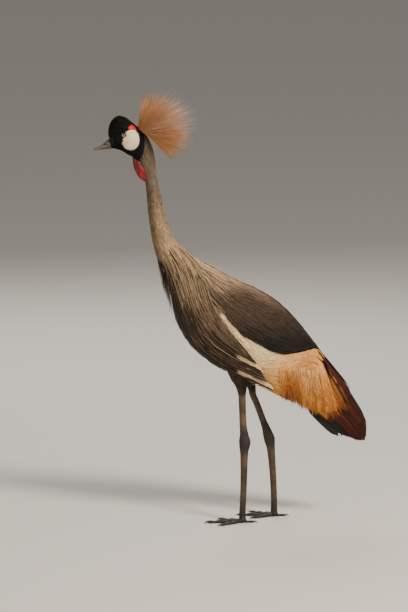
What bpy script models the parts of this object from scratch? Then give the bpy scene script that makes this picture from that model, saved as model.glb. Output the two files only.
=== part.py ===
"""Grey crowned crane, life size, standing, as a still museum model.

Metres, +Z up. The bird faces -Y and its left side is +X. Everything is worked out from the
driving dimensions below: the trunk's outline, the folded wings' envelope and the legs. Feathers
are thin vanes set along these surfaces and fused with them. The finished model is moved so that
the origin lies under the middle of its box, on the floor.
"""

import math
import random

import bmesh
import bpy
import numpy as np
from mathutils import Matrix, Vector

MM = 0.001
GAP = 0.3 * MM
SIDES = ((1, "left"), (-1, "right"))

# The body axis runs from the base of the neck back and down to the tail.
AXIS_START = (-199 * MM, 668 * MM)
BODY_PITCH = math.radians(38.4)

# Trunk outline from the bill's root to the nape and down the neck: the ring's upper or back
# point (y, z), its lower or front point (y, z), and half the ring's width, in millimetres.
HEAD_RINGS = (
    ((-357, 985), (-354, 962), 8),
    ((-360, 999), (-346, 960), 13),
    ((-357, 1017), (-337, 958), 17),
    ((-348, 1033), (-327, 955), 20),
    ((-333, 1042), (-317, 949), 22),
    ((-315, 1037), (-308, 942), 22),
    ((-298, 1024), (-301, 931), 21),
    ((-281, 1011), (-294, 921), 19),
    ((-264, 994), (-286, 913), 17),
    ((-252, 972), (-278, 905), 15.5),
)
NECK_RINGS = (
    ((-245, 949), (-273, 897), 14.5),
    ((-241, 923), (-269, 889), 14),
    ((-238, 898), (-267, 877), 13.5),
    ((-234, 867), (-264, 860), 14),
    ((-225, 828), (-261, 828), 15.5),
    ((-214, 777), (-256, 777), 18),
    ((-199, 737), (-248, 727), 22),
)
# The same for the torso, with each ring's upper and lower point as (distance along the body
# axis, height off it).
TORSO_RINGS = (
    ((11, 45), (-42, -10), 26),
    ((54, 49), (-10, -28), 37),
    ((95, 52), (27, -54), 48),
    ((136, 51), (66, -83), 58),
    ((180, 56), (110, -115), 67),
    ((226, 65), (170, -137), 74),
    ((272, 69), (237, -141), 78),
    ((321, 66), (301, -129), 77),
    ((372, 53), (359, -112), 68),
    ((416, 33), (410, -87), 54),
    ((457, 12), (454, -66), 38),
    ((486, -12), (486, -48), 20),
)
NECK_START = len(HEAD_RINGS) - 0.5
TORSO_START = len(HEAD_RINGS) + len(NECK_RINGS) - 0.5
# Lofts of the trunk as (first ring, last ring, steps, sides). The head and the torso start
# and end 0.3 mm short of the neck.
HEAD_CUT = 0.034
TORSO_CUT = 0.0075
HEAD_SPAN = (0, NECK_START - HEAD_CUT, 11, 16)
NECK_SPAN = (NECK_START, TORSO_START, 8, 14)
TORSO_SPAN = (TORSO_START + TORSO_CUT, NECK_START + 18.5, 12, 16)
CHEEK_SPAN = (2, 9, 6, 20)

# Eyes, bare cheeks and the red spot over each, as points (y, z) with their radii.
EYE = Vector((17.3, -320.5, 995.5)) * MM
EYE_RADIUS = 6.2 * MM
LID = 1.2 * MM
EYE_OPENING = (4.9 * MM, 4.4 * MM)
CHEEK = (-303 * MM, 982.5 * MM)
CHEEK_RADII = (22.5 * MM, 28 * MM)
RED_SPOT = (-299 * MM, 1017 * MM)
RED_SPOT_RADII = (12.5 * MM, 8.5 * MM)
CHEEK_DEPTH = 12 * MM
CHEEK_PROUD = 0.8 * MM
EYE_MARGIN = 1.5 * MM
HEAD_REACH = 40 * MM

# Bill rings from the tip back: y, upper z, lower z, half width, in millimetres.
UPPER_BILL_RINGS = (
    (-398.5, 957.3, 956.2, 0.7),
    (-395, 960.3, 956.8, 1.5),
    (-389, 964.2, 957.8, 2.8),
    (-382, 968.2, 958.8, 4.1),
    (-372, 974.0, 960.3, 5.9),
    (-362, 982.0, 961.6, 7.6),
    (-354, 984.5, 962.6, 8.0),
    (-347, 983.0, 963.0, 7.0),
)
LOWER_BILL_RINGS = (
    (-396.5, 955.9, 954.6, 0.6),
    (-389, 957.5, 954.6, 2.3),
    (-382, 958.5, 954.8, 3.6),
    (-372, 960.0, 955.9, 5.3),
    (-362, 961.3, 957.0, 6.9),
    (-352, 962.3, 958.8, 7.6),
    (-345, 962.7, 960.0, 6.6),
)
NOSTRIL = (-366 * MM, 972.5 * MM)
NOSTRIL_SIDE = 6.8 * MM
NOSTRIL_RADII = (2.6 * MM, 4.2 * MM, 1.7 * MM)

# Throat wattle rings from the top down: z, front y, back y, half width, in millimetres.
WATTLE_RINGS = (
    (941, -286, -274, 4),
    (933, -291, -270, 7.5),
    (921, -295, -266, 10.5),
    (909, -294, -263, 12.3),
    (897, -289, -261, 12.3),
    (887, -282, -259, 10.5),
    (880, -275, -260, 7),
    (876.5, -270, -263, 3),
)
WATTLE_FOLDS = 5
WATTLE_FOLD_DEPTH = 1.1 * MM

# The crest: a pad on the back of the crown and the bristles that fan out of it. Angles are in
# degrees; a and b run from -1 to 1 down and across the pad. The crown's back looks up by
# BRISTLE_RISE, and the fan leans away from that by BRISTLE_TILT.
CREST_ROOT = Vector((0, -271 * MM, 1004 * MM))
CREST_BACK = Vector((0, 0.72, 0.69)).normalized()
CREST_DOWN = Vector((0, 0.69, -0.72)).normalized()
CREST_PAD = (14 * MM, 26 * MM, 9 * MM)
BRISTLES = 72
BRISTLE_SPREAD = (20 * MM, 11 * MM)
BRISTLE_RISE = 43.0
BRISTLE_TILT = -25.0
BRISTLE_FAN = (62.0, 48.0)
BRISTLE_LENGTH = 124 * MM
BRISTLE_SHORTENING = 0.42
BRISTLE_RADIUS = 0.9 * MM
BRISTLE_TIP = 0.3 * MM

# Folded wings' outer envelope: distance along the body axis, top and bottom off it, half width.
WING_RINGS = (
    (77, 52, -92, 54),
    (115, 57, -121, 66),
    (159, 65, -139, 77),
    (205, 78, -148, 86),
    (269, 86, -150, 92),
    (333, 81, -138, 90),
    (385, 69, -121, 81),
    (436, 56, -106, 70),
    (487, 46, -93, 58),
    (539, 35, -86, 46),
    (590, 17, -93, 36),
    (620, 3, -94, 30),
    (648, -16, -84, 24),
    (674, -46, -70, 15),
)
WING_SQUARENESS = 0.8
# Borders on the folded wing, as (distance along the body axis, height off it) in millimetres.
SHIELD_LOW = (
    (100, 5), (159, -15), (217, -32), (258, -37), (302, -28), (340, -23), (371, -10), (393, 15),
    (421, 49), (436, 56),
)
WHITE_LOW = (
    (150, -18), (180, -30), (205, -42), (245, -75), (270, -108), (300, -128), (333, -125),
    (385, -109), (436, -95),
)
WHITE_REAR = ((367, -14), (428, -97))
SECONDARY_LOW = ((440, -60), (505, -62), (539, -52), (590, -62), (640, -72), (674, -70))
WING_LOW = (
    (333, -120), (385, -104), (436, -91), (487, -79), (539, -72), (590, -82), (620, -86),
)
SHIELD_ENDS = (100 * MM, 428 * MM)
WHITE_ENDS = (152 * MM, 427 * MM)
GOLD_ENDS = (368 * MM, 530 * MM)
SECONDARY_ENDS = (530.3 * MM, 600 * MM)
PRIMARY_ENDS = (440 * MM, 560 * MM)
SHELL = 14 * MM
PRIMARY_LAYER = (-9 * MM, -15.4 * MM)
OVERLAP = 0.05
# How far the walls between the wing's regions stand, which part the vanes of one from the next.
WALL = 16 * MM
PLUME_RISE = 7.5 * MM
# Room that the thighs leave round the wings' blocks for the vanes that stand over them.
VANE_ROOM = 6 * MM

# Feather shapes: shares of the length where the blade is measured, and its half width there as
# a share of the widest. The last share is the tip.
BROAD = ((0.0, 0.5, 0.82, 1.0), (0.6, 1.0, 0.75))
NARROW = ((0.0, 0.55, 1.0), (0.8, 1.0))
VANE = 0.8 * MM
ROOT_SINK = -3.2 * MM

# Back feathers of the shield in tiers: root distance along the axis in millimetres, and count.
SHIELD_TIERS = ((112, 2), (175, 2), (235, 3), (292, 2), (342, 2))
SHIELD_VANE = (88 * MM, 21 * MM)
WHITE_TIERS = ((165, 1), (215, 2), (270, 2), (328, 3))
WHITE_VANE = (92 * MM, 14 * MM)
# Straw plumes fan between two lines of (distance along the axis, height off it): where they
# start and where they end, from the front of the fan to its rear.
FAN_START = ((386, -14), (412, 10), (446, 34), (480, 38))
FAN_END = ((442, -91), (482, -82), (532, -67), (556, -22))
# Tiers of the fan as (start and end shares of the way down it, count).
FAN_TIERS = (((0.03, 0.50), 5), ((0.30, 0.80), 5), ((0.50, 1.12), 6))
FAN_WIDTH = 12 * MM
CURTAIN = 0.8
# Secondaries, from the uppermost down: where they start and where they end.
SECONDARY_START = ((548, 20), (548, 0), (548, -24), (548, -44))
SECONDARY_END = ((645, -13), (668, -35), (672, -54), (655, -68))
SECONDARY_COUNT = 5
SECONDARY_WIDTH = 13 * MM
SECONDARY_LIFT = (-3.2 * MM, -6.5 * MM)
PRIMARY_START = ((500, -60), (500, -76))
PRIMARY_END = ((652, -78), (606, -90))
PRIMARY_COUNT = 3
PRIMARY_WIDTH = 8 * MM
PRIMARY_LIFT = (-13.0 * MM, -9.0 * MM)

# The tail's root block: distance along the axis, top and bottom off it, half width, in
# millimetres; then the tail feathers of one side from the middle outwards.
TAIL_RINGS = ((486.4, -13, -48, 17), (505, -24, -50, 15), (530, -36, -52, 12))
TAIL_PAIRS = 4
TAIL_START = (512 * MM, -34 * MM)
TAIL_END = (618 * MM, -46 * MM)
TAIL_PITCH = (2.0 * MM, -1.8 * MM)
TAIL_SPREAD = (1.0, 1.5)
TAIL_WIDTH = 6.5 * MM

# Body plumes: the side border of the bare flank as (trunk ring, turn from the back in degrees),
# then tiers as (ring of the root, count on one side).
FLANK_BORDER = ((16, 35), (19, 64), (20, 88), (21, 101), (22, 108), (23, 134), (24, 162), (26, 172))
BODY_TIERS = ((16.9, 2), (18.0, 3), (19.1, 3), (20.2, 3), (21.2, 3))
BODY_VANE = (2.1, 7.5 * MM)
BODY_TIP = 4.5 * MM
# Loose locks that hang clear of the breast: ring and turn of the root, length in rings, tip lift.
LOOSE_LOCKS = ((17.6, 172, 2.9, 13 * MM), (18.3, 196, 2.6, 10 * MM), (18.9, 163, 2.6, 9 * MM))

# Leg rings from the belly down as (x, y, z, half width, half depth) in millimetres, for the
# left leg, which stands straight, and the right, which slants back above the ankle.
LEG_ROWS = {
    "left": {
        "thigh": (
            (40, -34, 405, 20, 30), (41, -28, 375, 15, 23), (41.5, -22, 352, 10.5, 14.5),
            (42, -20, 328, 8.2, 11),
        ),
        "tibia": (
            (42, -20, 327.6, 7.2, 9.4), (42, -19, 290, 6.8, 8.9), (42, -17.5, 255, 6.9, 9.2),
            (42, -15, 232, 7.8, 10.8), (42, -13.5, 216, 9.2, 14.2), (42, -13, 208, 9.4, 14.8),
        ),
        "tarsus": (
            (42, -13, 207.6, 9.4, 14.8), (42, -13.5, 199, 9, 13.8), (42, -14.5, 184, 7.3, 10.8),
            (42, -15, 150, 6.4, 9.2), (41.5, -16, 95, 6, 8.4), (41, -18, 45, 6.1, 8.1),
            (41, -19, 24, 7, 8.4), (41, -19, 16, 7.6, 8.8),
        ),
        "ankle": (41, -19),
        "toe_turn": 6,
    },
    "right": {
        "thigh": (
            (-38, -8, 400, 20, 30), (-40, -4, 375, 15, 22), (-41, 2, 348, 10, 13),
            (-41.5, 8, 322, 8.1, 10.6),
        ),
        "tibia": (
            (-41.5, 8, 321.6, 7.2, 9.2), (-41.5, 20, 290, 6.8, 8.9), (-41.5, 33, 255, 6.9, 9.2),
            (-41.5, 42, 232, 7.8, 11), (-41.5, 48, 214, 9.2, 13.8), (-41.5, 50.5, 205, 9.4, 14.8),
        ),
        "tarsus": (
            (-41.5, 50.5, 204.6, 9.4, 14.8), (-41.5, 51.5, 196, 9, 13.6),
            (-41.5, 54.5, 178, 7.3, 10.8), (-41.5, 57.5, 145, 6.4, 9.2), (-41, 61, 95, 6, 8.4),
            (-41, 63, 45, 6.1, 8.1), (-41, 63, 24, 7, 8.4), (-41, 63, 16, 7.6, 8.8),
        ),
        "ankle": (-41, 63),
        "toe_turn": -4,
    },
}
LIMB_SIDES = 10
FOOT_RISE = 7.2 * MM
FOOT_RADII = (9.4 * MM, 10 * MM, 8.4 * MM)
# Toes as (name, turn from straight ahead in degrees, length, radius at the root, joints).
TOE_ROOT = 6.5 * MM
TOES = (
    ("inner", -34, 60 * MM, 5.6 * MM, 2),
    ("middle", 0, 85 * MM, 6.0 * MM, 3),
    ("outer", 33, 68 * MM, 5.4 * MM, 3),
    ("hind", 172, 26 * MM, 4.6 * MM, 1),
)
TOE_TAPER = 0.36
TOE_KNUCKLE = 0.10
TOE_PRESS = 0.82
CLAW_LENGTH = 15 * MM
CLAW_FLATNESS = 0.7
CLAW_TIP = 0.45 * MM

COLOURS = {
    "cap_black": (0.012, 0.011, 0.012),
    "bill_grey": (0.05, 0.048, 0.045),
    "eye": (0.35, 0.38, 0.40),
    "cheek_white": (0.62, 0.55, 0.47),
    "bare_red": (0.42, 0.02, 0.02),
    "crest_gold": (0.55, 0.30, 0.08),
    "neck_grey": (0.25, 0.21, 0.16),
    "body_grey": (0.09, 0.07, 0.055),
    "mantle_grey": (0.07, 0.055, 0.048),
    "covert_white": (0.70, 0.60, 0.45),
    "plume_gold": (0.58, 0.32, 0.12),
    "chestnut": (0.07, 0.022, 0.014),
    "quill_black": (0.02, 0.017, 0.016),
    "leg_black": (0.035, 0.028, 0.024),
    "claw_black": (0.02, 0.018, 0.017),
}


def clear_scene():
    """Removes the startup objects."""
    for obj in list(bpy.data.objects):
        bpy.data.objects.remove(obj)


def material(slot):
    """The Principled material of one finish, made once."""
    found = bpy.data.materials.get(slot)
    if found:
        return found
    made = bpy.data.materials.new(slot)
    made.use_nodes = True
    shader = made.node_tree.nodes["Principled BSDF"]
    shader.inputs["Base Color"].default_value = (*COLOURS[slot], 1.0)
    shader.inputs["Roughness"].default_value = 0.35 if slot == "eye" else 0.75
    shader.inputs["Metallic"].default_value = 0.0
    return made


def add_object(name, bm, slot):
    """Turns a bmesh into a named object with its material."""
    mesh = bpy.data.meshes.new(name)
    bm.to_mesh(mesh)
    bm.free()
    obj = bpy.data.objects.new(name, mesh)
    bpy.context.scene.collection.objects.link(obj)
    mesh.materials.append(material(slot))
    mesh.shade_smooth()
    mesh.set_sharp_from_angle(angle=math.radians(50))
    return obj


def combine(obj, bms, operation, solver="MANIFOLD"):
    """Applies one Boolean with a collection of closed meshes, then keeps the largest body."""
    tools = bpy.data.collections.new("tools")
    bpy.context.scene.collection.children.link(tools)
    for number, bm in enumerate(bms):
        mesh = bpy.data.meshes.new("tool")
        bm.to_mesh(mesh)
        bm.free()
        tools.objects.link(bpy.data.objects.new(f"tool_{number}", mesh))
    modifier = obj.modifiers.new("join", "BOOLEAN")
    modifier.operation = operation
    modifier.operand_type = "COLLECTION"
    modifier.collection = tools
    modifier.solver = solver
    graph = bpy.context.evaluated_depsgraph_get()
    made = bpy.data.meshes.new_from_object(obj.evaluated_get(graph))
    obj.modifiers.clear()
    obj.data = made
    for tool in list(tools.objects):
        bpy.data.objects.remove(tool)
    bpy.data.collections.remove(tools)
    keep_largest(obj)
    return obj


def keep_largest(obj):
    """Drops every closed surface of the mesh but the one that holds the most."""
    bm = bmesh.new()
    bm.from_mesh(obj.data)
    bmesh.ops.triangulate(bm, faces=bm.faces)
    left = set(bm.faces)
    bodies = []
    while left:
        body, front = set(), [left.pop()]
        while front:
            face = front.pop()
            body.add(face)
            for edge in face.edges:
                for other in edge.link_faces:
                    if other in left:
                        left.discard(other)
                        front.append(other)
        corners = [[v.co for v in f.verts] for f in body]
        bodies.append((abs(sum(a.dot(b.cross(c)) for a, b, c in corners)), body))
    best = max(bodies, key=lambda pair: pair[0])[1]
    bmesh.ops.delete(bm, geom=[f for f in bm.faces if f not in best], context="FACES")
    bm.to_mesh(obj.data)
    bm.free()


def spline(rows, at):
    """A smooth curve through rows of numbers, read at a row position that may be fractional."""
    rows = np.asarray(rows, float)
    at = min(max(at, 0.0), len(rows) - 1.0)
    i = min(int(at), len(rows) - 2)
    f = at - i
    before = rows[max(i - 1, 0)]
    after = rows[min(i + 2, len(rows) - 1)]
    a, b = rows[i], rows[i + 1]
    slope_a, slope_b = (b - before) / 2, (after - a) / 2
    return (
        (2 * f**3 - 3 * f**2 + 1) * a
        + (f**3 - 2 * f**2 + f) * slope_a
        + (3 * f**2 - 2 * f**3) * b
        + (f**3 - f**2) * slope_b
    )


def between(rows):
    """A function that reads a value off rows of (place, value), both plain numbers."""
    where, values = zip(*rows)
    return lambda place: float(np.interp(place, where, values))


def on_line(rows, share):
    """The point at a share of the way through evenly counted rows of (along, off), in metres."""
    place = share * (len(rows) - 1)
    numbers = range(len(rows))
    return [float(np.interp(place, numbers, column)) * MM for column in zip(*rows)]


def flat(value):
    """A function that gives the same value all along."""
    return lambda along: value


def axis_point(along, off):
    """(y, z) of a point given along the body axis and square to it."""
    c, s = math.cos(BODY_PITCH), math.sin(BODY_PITCH)
    return (
        AXIS_START[0] + along * c + off * s,
        AXIS_START[1] - along * s + off * c,
    )


def trunk_rows():
    """Every trunk ring as (upper y, upper z, lower y, lower z, half width) in metres."""
    rows = []
    for up, low, wide in HEAD_RINGS + NECK_RINGS:
        rows.append((*np.array(up) * MM, *np.array(low) * MM, wide * MM))
    for up, low, wide in TORSO_RINGS:
        upper = axis_point(up[0] * MM, up[1] * MM)
        lower = axis_point(low[0] * MM, low[1] * MM)
        rows.append((*upper, *lower, wide * MM))
    return rows


TRUNK = trunk_rows()


def trunk_point(at, turn, grow=0.0):
    """A point on the trunk: at is the ring, turn 0 is its upper point and 90 degrees its left."""
    uy, uz, ly, lz, wide = spline(TRUNK, at)
    half = Vector((0, uy - ly, uz - lz)) / 2
    middle = Vector((0, (uy + ly) / 2, (uz + lz) / 2))
    up = half.normalized() * ((half.length + grow) * math.cos(turn))
    return middle + up + Vector(((wide + grow) * math.sin(turn), 0, 0))


def ring_turns(sides):
    """Evenly spaced turns round a ring."""
    return [2 * math.pi * i / sides for i in range(sides)]


def trunk(span, grow=0.0, longer=0.0):
    """A closed loft of the trunk over a span of rings, grown outwards and longer at both ends."""
    start, end, steps, sides = span
    turns = ring_turns(sides)
    places = [start + (end - start) * k / steps for k in range(steps + 1)]
    places = [start - longer, *places[1:-1], end + longer]
    return loft([[trunk_point(place, turn, grow) for turn in turns] for place in places])


def wing_section(along):
    """Middle off the axis, half height and half width of the wings' envelope at a distance."""
    stations = [row[0] * MM for row in WING_RINGS]
    at = float(np.interp(along, stations, range(len(stations))))
    _, top, bottom, half_width = spline(WING_RINGS, at) * MM
    return (top + bottom) / 2, (top - bottom) / 2, half_width


def squared(value):
    """A sine or cosine bent towards a boxier outline."""
    return math.copysign(abs(value) ** WING_SQUARENESS, value)


def wing_point(along, turn, lift=0.0):
    """A point on the folded wings' envelope, at a distance along the body axis in metres."""
    middle, height, half_width = wing_section(along)
    y, z = axis_point(along, middle + (height + lift) * squared(math.cos(turn)))
    return Vector(((half_width + lift) * squared(math.sin(turn)), y, z))


def turn_at(along, off):
    """The turn where the envelope stands a given height off the body axis."""
    middle, height, _ = wing_section(along)
    share = min(max((off - middle) / height, -1.0), 1.0)
    return math.acos(math.copysign(abs(share) ** (1 / WING_SQUARENESS), share))


def loft(rings, folded=False):
    """A closed bmesh skinned over rings that hold the same number of points each. The end of a
    folded ring, out along one arc and back along another, is closed from arc to arc."""
    bm = bmesh.new()
    loops = [[bm.verts.new(p) for p in ring] for ring in rings]
    count = len(loops[0])
    for a, b in zip(loops, loops[1:]):
        for i in range(count):
            j = (i + 1) % count
            bm.faces.new((a[i], a[j], b[j], b[i]))
    for loop, order in ((loops[0], -1), (loops[-1], 1)):
        if folded:
            for i in range(count // 2 - 1):
                bm.faces.new((loop[i], loop[i + 1], loop[-2 - i], loop[-1 - i])[::order])
        else:
            middle = bm.verts.new(sum((v.co for v in loop), Vector()) / count)
            for i in range(count):
                bm.faces.new((loop[i], loop[(i + 1) % count], middle)[::order])
    bmesh.ops.recalc_face_normals(bm, faces=bm.faces)
    bmesh.ops.triangulate(bm, faces=bm.faces)
    return bm


def ball(centre, radii, segments=10, rings=7):
    """A bmesh ellipsoid."""
    bm = bmesh.new()
    place = Matrix.Translation(centre) @ Matrix.Diagonal((*radii, 1))
    bmesh.ops.create_uvsphere(bm, u_segments=segments, v_segments=rings, radius=1, matrix=place)
    bmesh.ops.triangulate(bm, faces=bm.faces)
    return bm


def slab(side, start=0.0, reach=1.5):
    """A big block that holds all that is beyond x = start on one side."""
    bm = bmesh.new()
    bmesh.ops.create_cube(bm, size=1)
    bmesh.ops.scale(bm, vec=(reach, 2 * reach, 2 * reach), verts=bm.verts)
    bmesh.ops.translate(bm, vec=(side * (start + reach / 2), 0, reach / 2), verts=bm.verts)
    return bm


def side_cylinder(centre, radii, side, start, reach, grow=0.0, sides=10):
    """An elliptic cylinder along X from |x| = start outwards, round a point (y, z)."""
    rings = []
    for x in (start - grow, start + reach):
        ring = []
        for turn in ring_turns(sides):
            y = centre[0] + (radii[0] + grow) * math.cos(turn)
            z = centre[1] + (radii[1] + grow) * math.sin(turn)
            ring.append(Vector((side * x, y, z)))
        rings.append(ring)
    return loft(rings)


def patch(ends, first, last, outer, inner, side, counts, grow=0.0):
    """A thick piece of the wing envelope: ends are its limits along the axis, first and last
    give its turns at a distance along, and outer and inner its lifts. All of it can grow."""
    steps, sides = counts
    rings = []
    for k in range(steps + 1):
        along = ends[0] + (ends[1] - ends[0]) * k / steps
        wider = grow / min(wing_section(along)[1:])
        start, stop = first(along) - wider, last(along) + wider
        turns = [side * (start + (stop - start) * i / sides) for i in range(sides + 1)]
        at = along + grow * (2 * k / steps - 1)
        over = [wing_point(at, turn, outer(along) + grow) for turn in turns]
        under = [wing_point(at, turn, inner(along) - grow) for turn in reversed(turns)]
        rings.append(over + under)
    return loft(rings, folded=True)


def vane(line, outward, half_widths, thickness=VANE, columns=1, camber=0.0):
    """A thin closed blade along a line of points whose last one is its tip. outward gives the
    blade's upper side at each point. Both faces are split into triangles alike."""
    bm = bmesh.new()
    layers = []
    for lift in (thickness / 2, -thickness / 2):
        rows = []
        for k, width in enumerate(half_widths):
            ahead = (line[k + 1] - line[max(k - 1, 0)]).normalized()
            across = ahead.cross(outward[k]).normalized()
            up = across.cross(ahead)
            row = []
            for j in range(columns + 1):
                share = 2 * j / columns - 1
                rise = lift - camber * share**2 * width
                row.append(bm.verts.new(line[k] + across * (share * width) + up * rise))
            rows.append(row)
        layers.append(rows)
    top, under = layers
    tip = bm.verts.new(line[-1])
    for rows in layers:
        for a, b in zip(rows, rows[1:]):
            for j in range(columns):
                bm.faces.new((a[j], a[j + 1], b[j + 1]))
                bm.faces.new((a[j], b[j + 1], b[j]))
        for j in range(columns):
            bm.faces.new((rows[-1][j], rows[-1][j + 1], tip))
    for edge in (0, -1):
        for k in range(len(top) - 1):
            bm.faces.new((top[k][edge], top[k + 1][edge], under[k + 1][edge]))
            bm.faces.new((top[k][edge], under[k + 1][edge], under[k][edge]))
        bm.faces.new((top[-1][edge], tip, under[-1][edge]))
    for j in range(columns):
        bm.faces.new((top[0][j], top[0][j + 1], under[0][j + 1]))
        bm.faces.new((top[0][j], under[0][j + 1], under[0][j]))
    bmesh.ops.recalc_face_normals(bm, faces=bm.faces)
    return bm


def lying_vane(surface, start, end, width, tip_lift, form=NARROW, roll=0.0, root=ROOT_SINK, **blade):
    """A vane along a straight way over a surface (u, v, lift), its root sunk below it. roll
    tips the blade about its own length, so that neighbours lie over one another."""
    shares, widths = form
    line, outward = [], []
    for share in shares:
        u, v = (a + (b - a) * share for a, b in zip(start, end))
        lift = root + (tip_lift - root) * share
        line.append(surface(u, v, lift))
        outward.append((surface(u, v, lift + MM) - surface(u, v, lift - MM)).normalized())
    turn = Matrix.Rotation(roll, 3, (line[-1] - line[0]).normalized())
    outward = [turn @ normal for normal in outward]
    return vane(line, outward, [width * share for share in widths], **blade)


def cheek_block(side, grow=0.0):
    """The block that marks out one bare cheek, notched round the eye."""
    block = add_object("block", side_cylinder(CHEEK, CHEEK_RADII, side, CHEEK_DEPTH, HEAD_REACH, grow), "eye")
    around = EYE_RADIUS + LID + EYE_MARGIN - grow
    notch = side_cylinder((EYE.y, EYE.z), (around, around), side, 0, 2 * HEAD_REACH)
    combine(block, [notch], "DIFFERENCE")
    bm = bmesh.new()
    bm.from_mesh(block.data)
    bpy.data.objects.remove(block)
    return bm


def spot_block(side, grow=0.0, start=CHEEK_DEPTH):
    """The block that marks out the red spot above one cheek."""
    return side_cylinder(RED_SPOT, RED_SPOT_RADII, side, start, HEAD_REACH, grow)


def build_head():
    """Head with lids, eye sockets and seats for cheeks and bill; then eyes and bare patches."""
    head = add_object("head", trunk(HEAD_SPAN), "cap_black")
    eyes = [Vector((side * EYE.x, EYE.y, EYE.z)) for side, _ in SIDES]
    combine(head, [ball(eye, [EYE_RADIUS + LID] * 3) for eye in eyes], "UNION")
    cuts = [ball(eye, [EYE_RADIUS + GAP] * 3) for eye in eyes]
    for side, _ in SIDES:
        cuts.append(side_cylinder((EYE.y, EYE.z), EYE_OPENING, side, EYE.x, HEAD_REACH))
        cuts.append(spot_block(side, GAP))
        cuts.append(cheek_block(side, GAP))
    cuts += [bill(rows, GAP) for rows in (UPPER_BILL_RINGS, LOWER_BILL_RINGS)]
    combine(head, cuts, "DIFFERENCE")
    for eye, (side, name) in zip(eyes, SIDES):
        add_object(f"eye_{name}", ball(eye, [EYE_RADIUS] * 3), "eye")
        red = add_object(f"red_spot_{name}", trunk(CHEEK_SPAN, CHEEK_PROUD), "bare_red")
        combine(red, [spot_block(side)], "INTERSECT")
        cheek = add_object(f"cheek_{name}", trunk(CHEEK_SPAN, CHEEK_PROUD), "cheek_white")
        combine(cheek, [cheek_block(side)], "INTERSECT")
        combine(cheek, [spot_block(side, GAP, 0)], "DIFFERENCE")


def bill(rows, grow=0.0, sides=10):
    """One half of the bill as a loft through its rings."""
    rings = []
    for number, (y, up, low, wide) in enumerate(rows):
        ring = []
        at = y * MM + grow * (number == len(rows) - 1)
        for turn in ring_turns(sides):
            x = (wide * MM + grow) * math.sin(turn)
            z = (up + low) / 2 * MM + ((up - low) / 2 * MM + grow) * math.cos(turn)
            ring.append(Vector((x, at, z)))
        rings.append(ring)
    return loft(rings)


def build_bill():
    """Upper bill with a nostril pit on each side, and lower bill; the mouth is the gap between."""
    upper = add_object("bill_upper", bill(UPPER_BILL_RINGS), "bill_grey")
    pits = [ball((side * NOSTRIL_SIDE, *NOSTRIL), NOSTRIL_RADII, 8, 5) for side, _ in SIDES]
    combine(upper, pits, "DIFFERENCE")
    add_object("bill_lower", bill(LOWER_BILL_RINGS), "bill_grey")


def build_wattle(sides=15):
    """The bare throat wattle with its folds, fitted over the front of the throat and neck."""
    rings = []
    for z, front, back, wide in WATTLE_RINGS:
        ring = []
        for turn in ring_turns(sides):
            fold = WATTLE_FOLD_DEPTH * math.cos(WATTLE_FOLDS * turn)
            y = (front + back) / 2 * MM + ((back - front) / 2 * MM + fold) * math.cos(turn)
            ring.append(Vector(((wide * MM + fold) * math.sin(turn), y, z * MM)))
        rings.append(ring)
    wattle = add_object("wattle", loft(rings), "bare_red")
    cuts = [trunk(HEAD_SPAN, GAP, HEAD_CUT), trunk(NECK_SPAN, GAP, HEAD_CUT)]
    combine(wattle, cuts, "DIFFERENCE")


def crest_pad():
    """The feathered pad on the back of the crown that the crest grows from."""
    bm = ball((0, 0, 0), CREST_PAD, 12, 7)
    turn = Matrix((Vector((1, 0, 0)), CREST_DOWN, CREST_BACK)).transposed()
    bmesh.ops.transform(bm, matrix=Matrix.Translation(CREST_ROOT) @ turn.to_4x4(), verts=bm.verts)
    bmesh.ops.recalc_face_normals(bm, faces=bm.faces)
    return bm


def bristle(root, tip, turn):
    """One stiff crest feather as a three-sided taper."""
    ahead = (tip - root).normalized()
    across = ahead.cross(Vector((1, 0, 0.01))).normalized()
    other = ahead.cross(across)
    rings = []
    for share, radius in ((0.0, BRISTLE_RADIUS), (1.0, BRISTLE_TIP)):
        centre = root.lerp(tip, share)
        turns = [turn + 2 * math.pi * i / 3 for i in range(3)]
        rings.append([centre + (across * math.cos(t) + other * math.sin(t)) * radius for t in turns])
    bm = bmesh.new()
    loops = [[bm.verts.new(p) for p in ring] for ring in rings]
    for a, b in zip(loops, loops[1:]):
        for i in range(3):
            j = (i + 1) % 3
            bm.faces.new((a[i], a[j], b[j]))
            bm.faces.new((a[i], b[j], b[i]))
    bm.faces.new(loops[0][::-1])
    bm.faces.new(loops[-1])
    bmesh.ops.recalc_face_normals(bm, faces=bm.faces)
    return bm


def build_crest():
    """The crest, bristle by bristle, fanned evenly out of its pad."""
    draw = random.Random(7)
    golden = math.pi * (3 - math.sqrt(5))
    bristles = []
    for k in range(BRISTLES):
        reach = math.sqrt((k + 0.5) / BRISTLES)
        a, b = reach * math.cos(k * golden), reach * math.sin(k * golden)
        root = CREST_ROOT + CREST_DOWN * (a * BRISTLE_SPREAD[0]) + Vector((b * BRISTLE_SPREAD[1], 0, 0))
        tilt = math.radians(BRISTLE_TILT - a * BRISTLE_FAN[0])
        swing = math.radians(b * BRISTLE_FAN[1])
        level = Vector((math.sin(swing), math.cos(swing), 0))
        rise = math.radians(BRISTLE_RISE) + tilt
        heading = Vector((level.x, level.y * math.cos(rise), math.sin(rise) * math.cos(swing)))
        length = BRISTLE_LENGTH * (1 - BRISTLE_SHORTENING * reach**2) * draw.uniform(0.9, 1.02)
        bristles.append(bristle(root, root + heading.normalized() * length, draw.uniform(0, 2)))
    crest = add_object("crest", crest_pad(), "crest_gold")
    combine(crest, bristles, "UNION")
    combine(crest, [trunk(HEAD_SPAN, GAP), trunk(NECK_SPAN, GAP)], "DIFFERENCE")


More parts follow.
